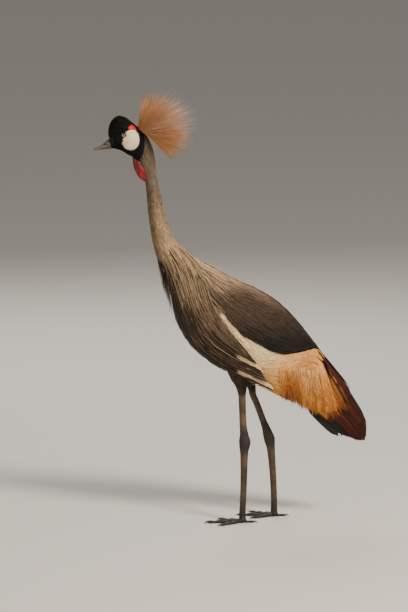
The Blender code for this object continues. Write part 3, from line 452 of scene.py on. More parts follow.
@dataclass
class Coat:
    """Gathers feathers and makes one mesh piece of them.

    A blade's least height keeps a fine strand solid, its keel is the share of that height under
    it, and its painted under shade is the share of its colour that the underside keeps, so the
    underside is painted darker as painted shade.
    """

    name: str
    points: list = field(default_factory=list)
    colours: list = field(default_factory=list)
    bakes: list = field(default_factory=list)
    blades: list = field(default_factory=list)
    faces: list = field(default_factory=list)
    count: int = 0
    least_height: float = 0.12
    keel: float = 0.4
    # Share of a blade's colour kept on its underside: painted shade.
    painted_under_shade: float = 0.7
    crisp: float = 75.0

    def add_lines(
        self, cut: Cut, lines: Array, normals: Array, width: Array, colours: tuple, roots: Array,
        roll: Array = 0.0,
    ) -> None:
        """Adds feathers along given lines.

        Args:
            cut: The feathers' cut.
            lines: Points of each feather, one for each share of its cut.
            normals: The upper side's direction at each point.
            width: Half width of each feather in millimetres.
            colours: Root, tip and edge colour of each feather.
            roots: Place of each feather's root on the bake map.
            roll: Turn of each blade about its own length in radians.
        """
        n, rows = lines.shape[:2]
        ahead = np.empty_like(lines)
        ahead[:, 1:-1] = lines[:, 2:] - lines[:, :-2]
        ahead[:, 0] = lines[:, 1] - lines[:, 0]
        ahead[:, -1] = lines[:, -1] - lines[:, -2]
        ahead = unit(ahead)
        across = unit(np.cross(ahead, normals))
        up = np.cross(across, ahead)
        roll = np.broadcast_to(np.asarray(roll, float), (n,))[:, None, None]
        c, s = np.cos(roll), np.sin(roll)
        across, up = across * c + up * s, up * c - across * s
        wide = (np.broadcast_to(width, (n,))[:, None] * cut.widths)[..., None]
        high = np.maximum(wide * cut.ridge, self.least_height)
        rims = lines - across * wide, lines + across * wide
        body = np.stack([rims[0], lines + up * high, rims[1], lines - up * high * self.keel], 2)
        root, tip, rim = (np.broadcast_to(np.asarray(c, float), (n, 3))[:, None] for c in colours)
        share = cut.shares[None, :, None]
        middle = root * (1 - share) + tip * share
        side = np.broadcast_to(rim, middle.shape)
        # The underside of each blade is a darker copy of its colour: painted shade.
        shades = np.stack([side, middle, side, middle * self.painted_under_shade], 2)
        corners = np.array([0, 0.5, 1, 0.5])
        blade = np.stack(np.broadcast_arrays(corners[None, :], cut.shares[:, None]), -1)
        bake = roots[:, None, None] + PATCH * (blade[None] - (0.5, 0.0))
        keep = slice(None, -1)
        points = np.concatenate([body[:, keep].reshape(n, -1, 3), lines[:, -1:]], 1)
        shades = np.concatenate([shades[:, keep].reshape(n, -1, 3), shades[:, -1, 1:2]], 1)
        bake = np.concatenate([bake[:, keep].reshape(n, -1, 2), bake[:, -1, 1:2]], 1)
        blade = np.concatenate([blade[keep].reshape(-1, 2), blade[-1, 1:2]], 0)
        self.points.append(points.reshape(-1, 3))
        self.colours.append(shades.reshape(-1, 3))
        self.bakes.append(bake.reshape(-1, 2))
        self.blades.append(np.tile(blade, (n, 1)))
        size = points.shape[1]
        starts = self.count + np.arange(n)[:, None, None] * size
        for pattern in self.pattern(rows):
            self.faces.append((starts + pattern[None]).reshape(-1, pattern.shape[1]))
        self.count += n * size

    @staticmethod
    def pattern(rows: int) -> tuple[Array, Array]:
        """Numbers the vertices of one feather's faces.

        Args:
            rows: Rows of the blade, the tip counted.

        Returns:
            Its quads and its triangles.
        """
        quads, last = [(3, 2, 1, 0)], 4 * (rows - 1)
        for row in range(rows - 2):
            for i in range(4):
                j = (i + 1) % 4
                a, b = 4 * row, 4 * row + 4
                quads.append((a + i, a + j, b + j, b + i))
        ends = [(last - 4 + i, last - 4 + (i + 1) % 4, last) for i in range(4)]
        return np.array(quads), np.array(ends)

    def add(
        self, cut: Cut, surface: Surface, start: tuple, end: tuple, lifts: tuple, width: Array,
        colours: tuple, roots: Array, roll: Array = 0.0, power: float = 1.4, waver: Array = 0.0,
    ) -> None:
        """Adds feathers that lie along a surface, from start to end.

        Args:
            cut: The feathers' cut.
            surface: Gives points for two places and a lift.
            start: The two places of each root.
            end: The two places of each tip.
            lifts: Height of roots and tips over the surface.
            width: Half widths.
            colours: Root, tip and edge colours.
            roots: Places on the bake map.
            roll: Turns about the blade's own length.
            power: How late the blade rises.
            waver: Sideways bow of each feather in the second place's unit.
        """
        share = cut.shares[None]
        u, v, lift = (
            np.asarray(a, float)[..., None] * (1 - s) + np.asarray(b, float)[..., None] * s
            for a, b, s in (
                (start[0], end[0], share), (start[1], end[1], share), (lifts[0], lifts[1], share**power)
            )
        )
        v = v + np.asarray(waver, float)[..., None] * np.sin(np.pi * share)
        u, v, lift = np.broadcast_arrays(u, v, lift)
        lines = surface(u, v, lift)
        normals = unit(surface(u, v, lift + 1.0) - surface(u, v, lift - 1.0))
        self.add_lines(cut, lines, normals, width, colours, roots, roll)

    def build(self) -> Piece:
        """Makes the piece's mesh.

        Returns:
            The object with all feathers gathered so far.
        """
        points = (np.concatenate(self.points) + SHIFT) * MM
        mesh = bpy.data.meshes.new(self.name)
        mesh.vertices.add(len(points))
        mesh.vertices.foreach_set("co", points.astype(np.float32).ravel())
        corners = np.concatenate([block.ravel() for block in self.faces])
        totals = np.concatenate([np.full(len(block), block.shape[1]) for block in self.faces])
        mesh.loops.add(len(corners))
        mesh.loops.foreach_set("vertex_index", corners.astype(np.int32))
        mesh.polygons.add(len(totals))
        mesh.polygons.foreach_set("loop_start", (np.cumsum(totals) - totals).astype(np.int32))
        mesh.update(calc_edges=True)
        for map_name, places in ((BAKE_MAP, self.bakes), (BLADE_MAP, self.blades)):
            layer = mesh.uv_layers.new(name=map_name)
            layer.data.foreach_set("uv", np.concatenate(places)[corners].astype(np.float32).ravel())
        mesh.shade_smooth()
        mesh.set_sharp_from_angle(angle=math.radians(self.crisp))
        obj = add_object(self.name, mesh)
        paint(obj, np.concatenate(self.colours))
        return obj


# Finishes


WHITE = (1.0, 1.0, 1.0)


class Nodes:
    """Builds one material's node tree."""

    def __init__(self, name: str) -> None:
        """Starts a material of that name."""
        self.material = bpy.data.materials.new(name)
        self.material.use_nodes = True
        self.tree = self.material.node_tree
        self.shader = self.tree.nodes["Principled BSDF"]

    def add(self, kind: str, **settings: object) -> bpy.types.Node:
        """Adds a node.

        Args:
            kind: The node's type.
            **settings: Its own properties, or values of its inputs.

        Returns:
            The node.
        """
        node = self.tree.nodes.new(kind)
        for key, value in settings.items():
            if key in node.bl_rna.properties:
                setattr(node, key, value)
            else:
                node.inputs[key.replace("_", " ")].default_value = value
        return node

    def link(self, source: Socket, target: Socket) -> None:
        """Links two sockets."""
        self.tree.links.new(source, target)

    def ramp(self, source: Socket, stops: Sequence[tuple]) -> Socket:
        """Turns a value into colours.

        Args:
            source: The value.
            stops: Places with their colours.

        Returns:
            The colour.
        """
        node = self.add("ShaderNodeValToRGB")
        ramp = node.color_ramp
        while len(ramp.elements) < len(stops):
            ramp.elements.new(0.5)
        for element, (place, colour) in zip(ramp.elements, stops):
            element.position = place
            element.color = (*colour, 1.0)
        self.link(source, node.inputs["Fac"])
        return node.outputs["Color"]

    def pattern(self, kind: str, stretch: Sequence[float], **settings: object) -> bpy.types.Node:
        """Adds a pattern over the object's own coordinates.

        Args:
            kind: The texture node's type.
            stretch: Scale along each axis.
            **settings: The texture's settings, its scale in features for each metre.

        Returns:
            The texture node.
        """
        place = self.add("ShaderNodeTexCoord")
        mapping = self.add("ShaderNodeMapping", Scale=tuple(stretch))
        node = self.add(kind, **settings)
        self.link(place.outputs["Object"], mapping.inputs["Vector"])
        self.link(mapping.outputs["Vector"], node.inputs["Vector"])
        return node

    def noise(self, scale: float, detail: float = 3.0, stretch: tuple = (1, 1, 1)) -> Socket:
        """Adds noise and gives its value."""
        return self.pattern("ShaderNodeTexNoise", stretch, Scale=scale, Detail=detail).outputs["Fac"]

    def cells(self, scale: float, feature: str = "F1", stretch: tuple = (1, 1, 1)) -> Socket:
        """Adds cells and gives the distance to the nearest one."""
        node = self.pattern("ShaderNodeTexVoronoi", stretch, feature=feature, Scale=scale)
        return node.outputs["Distance"]

    def reckon(self, operation: str, *sources: Socket | float) -> Socket:
        """Adds a step of arithmetic.

        Args:
            operation: What the node works out.
            *sources: A socket or a number for each input.

        Returns:
            The result.
        """
        node = self.add("ShaderNodeMath", operation=operation)
        for number, source in enumerate(sources):
            if isinstance(source, float):
                node.inputs[number].default_value = source
            else:
                self.link(source, node.inputs[number])
        return node.outputs[0]

    def tint(self) -> Socket:
        """The colour stored in the mesh."""
        return self.add("ShaderNodeVertexColor", layer_name=TINT).outputs["Color"]

    def times(self, colour: Socket, factor: Socket) -> Socket:
        """Multiplies a colour by another, or by a value."""
        node = self.add("ShaderNodeMix", data_type="RGBA", blend_type="MULTIPLY")
        node.inputs["Factor"].default_value = 1.0
        self.link(colour, node.inputs[6])
        self.link(factor, node.inputs[7])
        return node.outputs[2]

    def bump(self, height: Socket, strength: float, distance: float) -> None:
        """Drives the shader's normal by a height, over any earlier one.

        Args:
            height: The height.
            strength: Share of it that shows.
            distance: What a height of 1 stands for, in metres.
        """
        node = self.add("ShaderNodeBump", Strength=strength, Distance=distance)
        before = self.shader.inputs["Normal"].links
        if before:
            self.link(before[0].from_socket, node.inputs["Normal"])
        self.link(height, node.inputs["Height"])
        self.link(node.outputs["Normal"], self.shader.inputs["Normal"])

    def set(self, **values: float | tuple) -> None:
        """Sets the shader's own constant inputs."""
        for key, value in values.items():
            self.shader.inputs[key.replace("_", " ")].default_value = value


@dataclass(frozen=True)
class Finish:
    """A finish with its name; each kind dresses a material's nodes in its own way."""

    name: str

    def dress(self, n: Nodes) -> None:
        """Builds the finish's nodes."""
        raise NotImplementedError

    def make(self) -> bpy.types.Material:
        """Builds the material.

        Returns:
            The material, with the finish's name.
        """
        nodes = Nodes(self.name)
        self.dress(nodes)
        return nodes.material


@dataclass(frozen=True)
class PlumageFinish(Finish):
    """Feathers: painted colour, fine slanting barbs along each blade and a soft sheen."""

    roughness: float = 0.62
    sheen: float = 0.08
    barbs: float = 42.0
    depth: float = 0.35
    specular: float = 0.2
    slant: float = 0.35
    barb_height: float = 0.0002

    def dress(self, n: Nodes) -> None:
        """Builds barbs, shaft and grain over the painted colour."""
        uv = n.add("ShaderNodeUVMap", uv_map=BLADE_MAP)
        split = n.add("ShaderNodeSeparateXYZ")
        n.link(uv.outputs["UV"], split.inputs[0])
        off = n.reckon("ABSOLUTE", n.reckon("SUBTRACT", split.outputs["X"], 0.5))
        along = n.reckon("MULTIPLY_ADD", off, -self.slant, split.outputs["Y"])
        wave = n.reckon("SINE", n.reckon("MULTIPLY", along, self.barbs * 2 * math.pi))
        grain = n.ramp(n.noise(260, 4), ((0.3, (0.72, 0.70, 0.68)), (0.7, (1.12, 1.1, 1.08))))
        barb = n.add("ShaderNodeMapRange", From_Min=-1.0, From_Max=1.0, To_Min=0.86, To_Max=1.06)
        n.link(wave, barb.inputs["Value"])
        shaft = n.ramp(off, ((0.0, (0.72, 0.7, 0.68)), (0.07, WHITE)))
        colour = n.times(n.times(n.times(n.tint(), grain), barb.outputs[0]), shaft)
        n.link(colour, n.shader.inputs["Base Color"])
        n.bump(wave, self.depth, self.barb_height)
        n.set(Roughness=self.roughness, Specular_IOR_Level=self.specular)
        n.set(Sheen_Weight=self.sheen, Sheen_Roughness=0.5)


@dataclass(frozen=True)
class SkinFinish(Finish):
    """Skin or down painted by vertex, with fine grain."""

    roughness: float = 0.8
    grain: float = 900.0
    depth: float = 0.25
    grain_height: float = 0.0006

    def dress(self, n: Nodes) -> None:
        """Builds blotches and grain over the painted colour."""
        blotch = n.ramp(n.noise(60, 5), ((0.3, (0.78, 0.77, 0.76)), (0.7, (1.1, 1.1, 1.1))))
        n.link(n.times(n.tint(), blotch), n.shader.inputs["Base Color"])
        n.bump(n.noise(self.grain, 4), self.depth, self.grain_height)
        n.set(Roughness=self.roughness, Specular_IOR_Level=0.3)


@dataclass(frozen=True)
class BareFinish(Finish):
    """Bare coloured skin: pores, small warts and a little moisture."""

    pale: tuple
    deep: tuple
    cell: float = 700.0
    stretch: tuple = (1.0, 1.0, 1.0)
    roughness: float = 0.42
    depth: float = 0.6
    pore_height: float = 0.0004
    wart_height: float = 0.0006

    def dress(self, n: Nodes) -> None:
        """Builds blotches, pores and warts."""
        colour = n.ramp(n.noise(55, 6), ((0.32, self.deep), (0.62, self.pale)))
        pores = n.cells(self.cell, stretch=self.stretch)
        fleck = n.ramp(pores, ((0.0, (1.06, 1.05, 1.04)), (0.75, (0.82, 0.79, 0.77))))
        n.link(n.times(colour, fleck), n.shader.inputs["Base Color"])
        n.bump(pores, self.depth, self.pore_height)
        n.bump(n.noise(300, 5), 0.3, self.wart_height)
        n.set(Roughness=self.roughness, Specular_IOR_Level=0.4)
        n.set(Subsurface_Weight=0.08, Subsurface_Scale=0.002)


@dataclass(frozen=True)
class HornFinish(Finish):
    """Horn of bill or claw: lengthwise growth streaks, times the painted tint, which on the bill is
    its darker root and a painted shade in the nostrils.
    """

    dark: tuple
    light: tuple
    roughness: float = 0.38
    streak_height: float = 0.0004

    def dress(self, n: Nodes) -> None:
        """Builds streaks that are smoother where worn."""
        streaks = n.noise(420, 6, (1.0, 0.16, 1.0))
        colour = n.ramp(streaks, ((0.3, self.dark), (0.7, self.light)))
        n.link(n.times(colour, n.tint()), n.shader.inputs["Base Color"])
        n.bump(streaks, 0.25, self.streak_height)
        rough = n.add("ShaderNodeMapRange", To_Min=self.roughness - 0.08, To_Max=self.roughness + 0.2)
        n.link(n.noise(90, 4), rough.inputs["Value"])
        n.link(rough.outputs[0], n.shader.inputs["Roughness"])
        n.set(Specular_IOR_Level=0.5)


@dataclass(frozen=True)
class ScaleFinish(Finish):
    """Leg skin: small many-sided scales between the plates.

    The painted colour is multiplied by dark and dusty in patches.
    """

    dark: tuple = (0.42, 0.40, 0.38)
    dusty: tuple = (1.3, 1.25, 1.2)
    scale_height: float = 0.0005

    def dress(self, n: Nodes) -> None:
        """Builds scales, grooves and dust over the painted colour."""
        rims = n.cells(520, "DISTANCE_TO_EDGE", (1.0, 1.0, 0.75))
        dust = n.ramp(n.noise(38, 6), ((0.35, self.dark), (0.72, self.dusty)))
        grooves = n.ramp(rims, ((0.0, (0.45, 0.42, 0.4)), (0.12, WHITE)))
        n.link(n.times(n.times(dust, grooves), n.tint()), n.shader.inputs["Base Color"])
        n.bump(n.ramp(rims, ((0.0, (0.0, 0.0, 0.0)), (0.18, WHITE))), 0.55, self.scale_height)
        n.set(Roughness=0.5, Specular_IOR_Level=0.42)


@dataclass(frozen=True)
class EyeFinish(Finish):
    """Wet eye: black pupil, pale grey-blue iris with fine spokes and a dark rim."""

    centre: tuple
    pupil: tuple = (0.004, 0.004, 0.005)
    edge: tuple = (0.12, 0.13, 0.135)
    iris: tuple = (0.20, 0.215, 0.22)
    rim: tuple = (0.015, 0.013, 0.013)

    def dress(self, n: Nodes) -> None:
        """Builds rings round the centre, by centimetres from it as seen from the side."""
        place = n.add("ShaderNodeTexCoord")
        centre = n.add("ShaderNodeMapping", Location=tuple(-c for c in self.centre))
        n.link(place.outputs["Object"], centre.inputs["Vector"])
        flat = n.add("ShaderNodeVectorMath", operation="MULTIPLY")
        flat.inputs[1].default_value = (0.0, 1.0, 1.0)
        n.link(centre.outputs["Vector"], flat.inputs[0])
        away = n.add("ShaderNodeVectorMath", operation="LENGTH")
        n.link(flat.outputs["Vector"], away.inputs[0])
        stops = (
            (0.0, self.pupil), (0.17, self.pupil), (0.19, self.edge), (0.30, self.iris),
            (0.37, self.iris), (0.41, self.rim),
        )
        rings = n.ramp(n.reckon("MULTIPLY", away.outputs["Value"], 100.0), stops)
        spokes = n.ramp(n.noise(1500, 4), ((0.3, (0.72, 0.74, 0.76)), (0.7, (1.15, 1.12, 1.1))))
        n.link(n.times(rings, spokes), n.shader.inputs["Base Color"])
        n.set(Roughness=0.06, Coat_Weight=1.0, Coat_Roughness=0.02, Specular_IOR_Level=0.7)


@dataclass(frozen=True)
class FloorFinish(Finish):
    """Plain pale floor."""

    name: str = "floor_pale"

    def dress(self, n: Nodes) -> None:
        """Sets the floor's colour."""
        n.set(Base_Color=(0.62, 0.60, 0.57, 1.0), Roughness=0.9)


# Colours of the plumage by place


ASH = (0.165, 0.12, 0.08)
SAND = (0.35, 0.235, 0.135)
# Darker ash, painted shade on the front and underside of neck and breast.
ASH_PAINTED_SHADE = (0.13, 0.09, 0.058)
TAN = (0.64, 0.46, 0.27)
UMBER = (0.055, 0.034, 0.021)
SOOT = (0.016, 0.011, 0.008)
VELVET = (0.0035, 0.003, 0.003)
FAWN = (0.36, 0.235, 0.15)
SLATE = (0.062, 0.040, 0.026)
SLATE_DEEP = (0.007, 0.0052, 0.004)
CREAM = (0.90, 0.70, 0.42)
STRAW = (0.88, 0.50, 0.14)
AMBER = (0.74, 0.28, 0.045)
RUST = (0.34, 0.10, 0.02)
CHESTNUT = (0.07, 0.015, 0.007)
QUILL_BLACK = (0.012, 0.009, 0.008)
CREST_GOLD = (0.97, 0.37, 0.055)


def wander(values: Array, scale: float, seed: int) -> Array:
    """Makes a smooth random field.

    Args:
        values: Rows of coordinates.
        scale: Length of its waves in the same unit.
        seed: Seed of the random draws.

    Returns:
        A number near -1 to 1 for each row.
    """
    rng = np.random.default_rng(seed)
    total = np.zeros(values.shape[:-1])
    for _ in range(5):
        way = rng.normal(size=values.shape[-1]) / scale
        total += np.sin(values @ way * 2 * np.pi + rng.uniform(0, 6.28))
    return total / 3


def velvet_border(around: Array) -> Array:
    """The ring where the black of the head ends, by the turn from the back in degrees."""
    return np.interp(around, (0, 50, 90, 140, 180), (7.5, 7.9, 8.15, 7.6, 7.0))


def trunk_colour(at: Array, turn: Array) -> Array:
    """Colours the trunk's plumage, before any feather's own variation.

    Args:
        at: Places along the rings.
        turn: Turns from the back in degrees.

    Returns:
        One colour for each place.
    """
    around = np.abs(np.asarray(turn, float))
    # Neck and breast are darkened towards the front and underside by painted shade.
    neck = mix(mix(ASH, SAND, blend(12.5, 15.5, at)), ASH_PAINTED_SHADE, blend(80, 160, around) * 0.7)
    breast = mix(TAN, ASH_PAINTED_SHADE, blend(100, 175, around) * 0.8)
    flank = mix(mix(SLATE, UMBER, blend(40, 80, around)), SOOT, blend(120, 175, around) * 0.6)
    colour = mix(neck, breast, blend(15.2, 17.0, at))
    colour = mix(colour, flank, blend(17.8, 19.6, at + blend(60, 130, around) * 1.2))
    return mix(VELVET, colour, blend(-0.15, 0.25, at - velvet_border(around)))


def plume_colour(along: Array, off: Array, stray: Array = 0.0) -> Array:
    """Colours coverts and plumes from white over straw and amber to rust.

    Args:
        along: Places along the body axis.
        off: Heights off it.
        stray: What each feather's tone is off by.

    Returns:
        One colour for each place.
    """
    back = along * PITCH_COS + off * PITCH_SIN
    drop = along * PITCH_SIN - off * PITCH_COS
    tone = 0.30 * blend(232, 296, back) + 0.36 * blend(220, 335, drop) + stray
    tone = tone + 0.26 * np.exp(-(((back - 303) / 22) ** 2)) * blend(222, 262, drop)
    tone = tone - 0.34 * np.exp(-(((back - 345) / 30) ** 2) - ((drop - 222) / 30) ** 2)
    pale = mix(CREAM, STRAW, blend(-0.05, 0.35, tone))
    return mix(mix(pale, AMBER, blend(0.2, 0.62, tone)), RUST, blend(0.6, 1.0, tone))


def flank_edge(along: Array) -> Array:
    """Height off the axis below which the flank's dark plumes cover the white."""
    places = (140, 164, 203, 249, 280, 330, 372, 400)
    return np.interp(along, places, (-13, -19, -28, -37, -46, -64, -98, -140))


def straw_end(off: Array) -> Array:
    """Place along the axis where the straw plumes give way to the flight feathers."""
    return np.interp(off, (-85, -53, -24, -8, 30, 56), (560, 552, 556, 534, 482, 430))


def wing_colour(along: Array, turn: Array) -> Array:
    """Colours the folded wing.

    Args:
        along: Places along the body axis.
        turn: Turns in radians, 0 on the back.

    Returns:
        One colour for each place.
    """
    middle, height, _ = WING.section(along)
    off = middle + height * WING.squared(np.cos(turn))
    high = WING.turn_at(along, np.interp(along, *np.array(WING.shield_low).T))
    down = np.clip(turn / np.maximum(high, 0.1), 0, 1)
    shield = mix(FAWN, SLATE, blend(95, 190, along + 60 * down))
    shield = mix(shield, SLATE_DEEP, blend(170, 400, along + 150 * down - 60))
    shield = mix(shield, FAWN, 0.45 * blend(0.4, 0.08, down) * blend(290, 170, along))
    white = mix(plume_colour(along, off), UMBER, blend(2, -4, off - flank_edge(along)))
    colour = mix(shield, white, blend(-0.02, 0.02, turn - high))
    return mix(colour, CHESTNUT, blend(-6, 6, along - straw_end(off)))


# Skin under the coat


@dataclass
class Skin:
    """One skin under the whole coat: trunk, thighs and the folded wings' flesh."""

    head_depth: float = 0.8
    neck_depth: float = 1.6
    body_depth: float = 3.0
    wing_depth: float = 4.5
    wing_thickness: float = 8.0
    wing_start: float = 84.0
    wing_length: float = 500.0
    rim_drop: float = 4.0
    # Share of the coat's colours that the skin keeps: painted shade in the gaps between feathers.
    shade: float = 0.8
    thighs: tuple = (
        (
            (40, -34, 405, 19, 29), (41, -28, 375, 14, 22),
            (41.5, -22, 352, 9.6, 13.6), (42, -20, 328, 5.8, 8.0),
        ),
        (
            (-38, -8, 400, 19, 29), (-40, -4, 375, 14, 21),
            (-41, 2, 348, 9.2, 12.6), (-41.5, 8, 322, 5.7, 7.8),
        ),
    )

    def trunk(self) -> Solid:
        """Makes head, neck and torso, tucked in by the coat's depth.

        Returns:
            The closed skin.
        """

        def shape(u: Array, v: Array) -> Array:
            """Points on the skin."""
            at = v * SKIN_END
            depth = self.head_depth + blend(8, 11, at) * (self.neck_depth - self.head_depth)
            depth = depth + blend(15, 18, at) * (self.body_depth - self.neck_depth)
            return TRUNK.point(at, u * 360 - 180, -depth)

        return wrap(64, 190, shape)

    def wing(self, side: int) -> Solid:
        """Makes the flesh of one folded wing.

        Args:
            side: 1 for the left.

        Returns:
            A closed shell, its outer face read out and its inner face back.
        """

        def shape(u: Array, v: Array) -> Array:
            """Points on the shell."""
            along = self.wing_start + v * self.wing_length
            low = WING.turn_at(along, np.interp(along, *np.array(WING.white_low, float).T))
            front = WING.turn_at(along, np.interp(along, *np.array(WING.shield_low).T))
            low = np.where(along < WING.white_low[0][0], front, low)
            out = u < 0.5
            turn = low * np.where(out, 2 * u, 2 - 2 * u)
            end = np.minimum(blend(0, 0.05, v), blend(0, 0.05, 1 - v))
            inner = -self.wing_depth - self.rim_drop - self.wing_thickness * end
            lift = np.where(out, -self.wing_depth - self.rim_drop * (1 - end), inner)
            return WING.point(along, side * np.maximum(turn, 0.03), lift)

        return wrap(72, 90, shape)

    def build(self) -> Piece:
        """Makes the skin, painted like the coat over it and darker, as painted shade in the gaps between
        feathers.

        Returns:
            The piece.
        """
        parts = [self.trunk()]
        parts += [wrap(24, 30, tube(rows)) for rows in self.thighs]
        sizes = [len(bm.verts) for bm in parts]
        wings = [self.wing(side) for side, _ in SIDES]
        skin = add_piece("skin", parts + wings)
        points = own_points(skin)
        colours = np.tile(np.array(UMBER), (len(points), 1))
        at, turn = lattice(np.linspace(0, SKIN_END, 240), np.linspace(-180, 180, 90))
        near = nearest(TRUNK.point(at, turn), points[: sizes[0]])
        colours[: sizes[0]] = trunk_colour(at[near], turn[near])
        along, sweep = lattice(np.linspace(80, 600, 140), np.linspace(0, 3, 60))
        flat = points[sum(sizes):].copy()
        flat[:, 0] = np.abs(flat[:, 0])
        near = nearest(WING.point(along, sweep), flat)
        colours[sum(sizes):] = wing_colour(along[near], sweep[near])
        # Darkened to paint the shade in the gaps between feathers.
        paint(skin, colours * self.shade)
        return skin


def nearest(targets: Array, points: Array) -> Array:
    """Finds the target nearest to each point.

    Args:
        targets: Where to look.
        points: What to look for.

    Returns:
        One target's number for each point.
    """
    tree = KDTree(len(targets))
    for number, place in enumerate(targets):
        tree.insert(place, number)
    tree.balance()
    return np.array([tree.find(place)[1] for place in points], int)


@dataclass
class Ground:
    """What feathers lie on: the skin's outermost surface, found by casting onto it.

    The heights found along each feather are evened out so many times.
    """

    tree: BVHTree
    smooth: int = 2

    @classmethod
    def of(cls, parts: Sequence[Solid]) -> "Ground":
        """Reads the skin's bmeshes in millimetres and uses them up."""
        whole = joined(parts)
        tree = BVHTree.FromBMesh(whole)
        whole.free()
        return cls(tree)

    def over(self, surface: Surface, reach: float = 45.0, depth: float = 12.0) -> Surface:
        """A surface that stands on whatever lies highest there.

        Args:
            surface: The surface to follow.
            reach: How far above it the cast starts.
            depth: How far below it the cast ends.

        Returns:
            The surface raised onto the skin, smoothly along each feather.
        """

        def raised(u: Array, v: Array, lift: Array) -> Array:
            """Points on the raised surface."""
            u, v, lift = np.broadcast_arrays(*(np.asarray(a, float) for a in (u, v, lift)))
            base = surface(u, v, np.zeros_like(u))
            up = unit(surface(u, v, np.ones_like(u)) - base)
            rise = np.full(u.shape, np.nan)
            for index in np.ndindex(u.shape):
                start = Vector(base[index] + up[index] * reach)
                distance = self.tree.ray_cast(start, Vector(-up[index]), reach + depth)[3]
                if distance is not None:
                    rise[index] = reach - distance
            if rise.ndim == 2:
                missed = np.isnan(rise).all(1, keepdims=True)
                lowest = np.nanmin(np.where(missed, 0.0, rise), 1, keepdims=True)
                rise = np.where(np.isnan(rise), lowest, rise)
                rise[:, :-1] = np.maximum(rise[:, :-1], rise[:, 1:])
                rise[:, 1:] = np.maximum(rise[:, :-1], rise[:, 1:])
                for _ in range(self.smooth):
                    rise[:, 1:-1] = (rise[:, :-2] + 2 * rise[:, 1:-1] + rise[:, 2:]) / 4
            return base + up * (rise + lift)[..., None]

        return raised


def trunk_roots(at: Array, turn: Array) -> Array:
    """Places on the trunk's unwrap, where u is the turn and v the way along."""
    return np.stack([np.asarray(turn) / 360 + 0.5, np.asarray(at) / SKIN_END], -1)


def wing_roots(along: Array, turn: Array, side: int) -> Array:
    """Places on the wings' unwrap, where u is the way along and v the turn."""
    return np.stack([(np.asarray(along) - 60) / 640, 0.5 + side * np.asarray(turn) / 7], -1)


def ring_length(at: Array) -> Array:
    """Measures the millimetres from ring to ring at places along the rings."""
    at = np.clip(np.asarray(at, float), 0.3, len(TRUNK_ROWS) - 1.3)
    rows = spline(TRUNK_ROWS, at + 0.25) - spline(TRUNK_ROWS, at - 0.25)
    return np.hypot(rows[..., 0] + rows[..., 2], rows[..., 1] + rows[..., 3])


def scatter_trunk(first: float, last: float, pitch: tuple, seed: int) -> tuple:
    """Spreads roots over the trunk.

    Args:
        first: Ring to start from.
        last: Ring to end at.
        pitch: Spacing along and round in millimetres.
        seed: Seed of the random draws.

    Returns:
        Rings and turns of the roots, and the random source.
    """
    rng = np.random.default_rng(seed)
    ats, turns, at, row = [], [], first, 0
    while at < last:
        rows = spline(TRUNK_ROWS, at)
        tall, wide = math.hypot(rows[0] - rows[2], rows[1] - rows[3]) / 2, rows[4]
        around = math.pi * (tall + wide)
        count = max(int(around / pitch[1] / 2), 2)
        for side, _ in SIDES:
            spots = (np.arange(count) + 0.5 * (row % 2) + rng.uniform(-0.35, 0.35, count)) / count
            turns.append(side * 180 * np.clip(spots, 0, 1))
            ats.append(at + rng.uniform(-0.5, 0.5, count) * pitch[0] / float(ring_length(at)))
        at += pitch[0] / float(ring_length(at))
        row += 1
    return np.concatenate(ats), np.concatenate(turns), rng


def vary(colours: Array, rng: Draws, amount: float) -> Array:
    """Makes each feather a little lighter or darker."""
    return colours * (1 + rng.normal(0, amount, (len(colours), 1)))


# Head and its bare parts


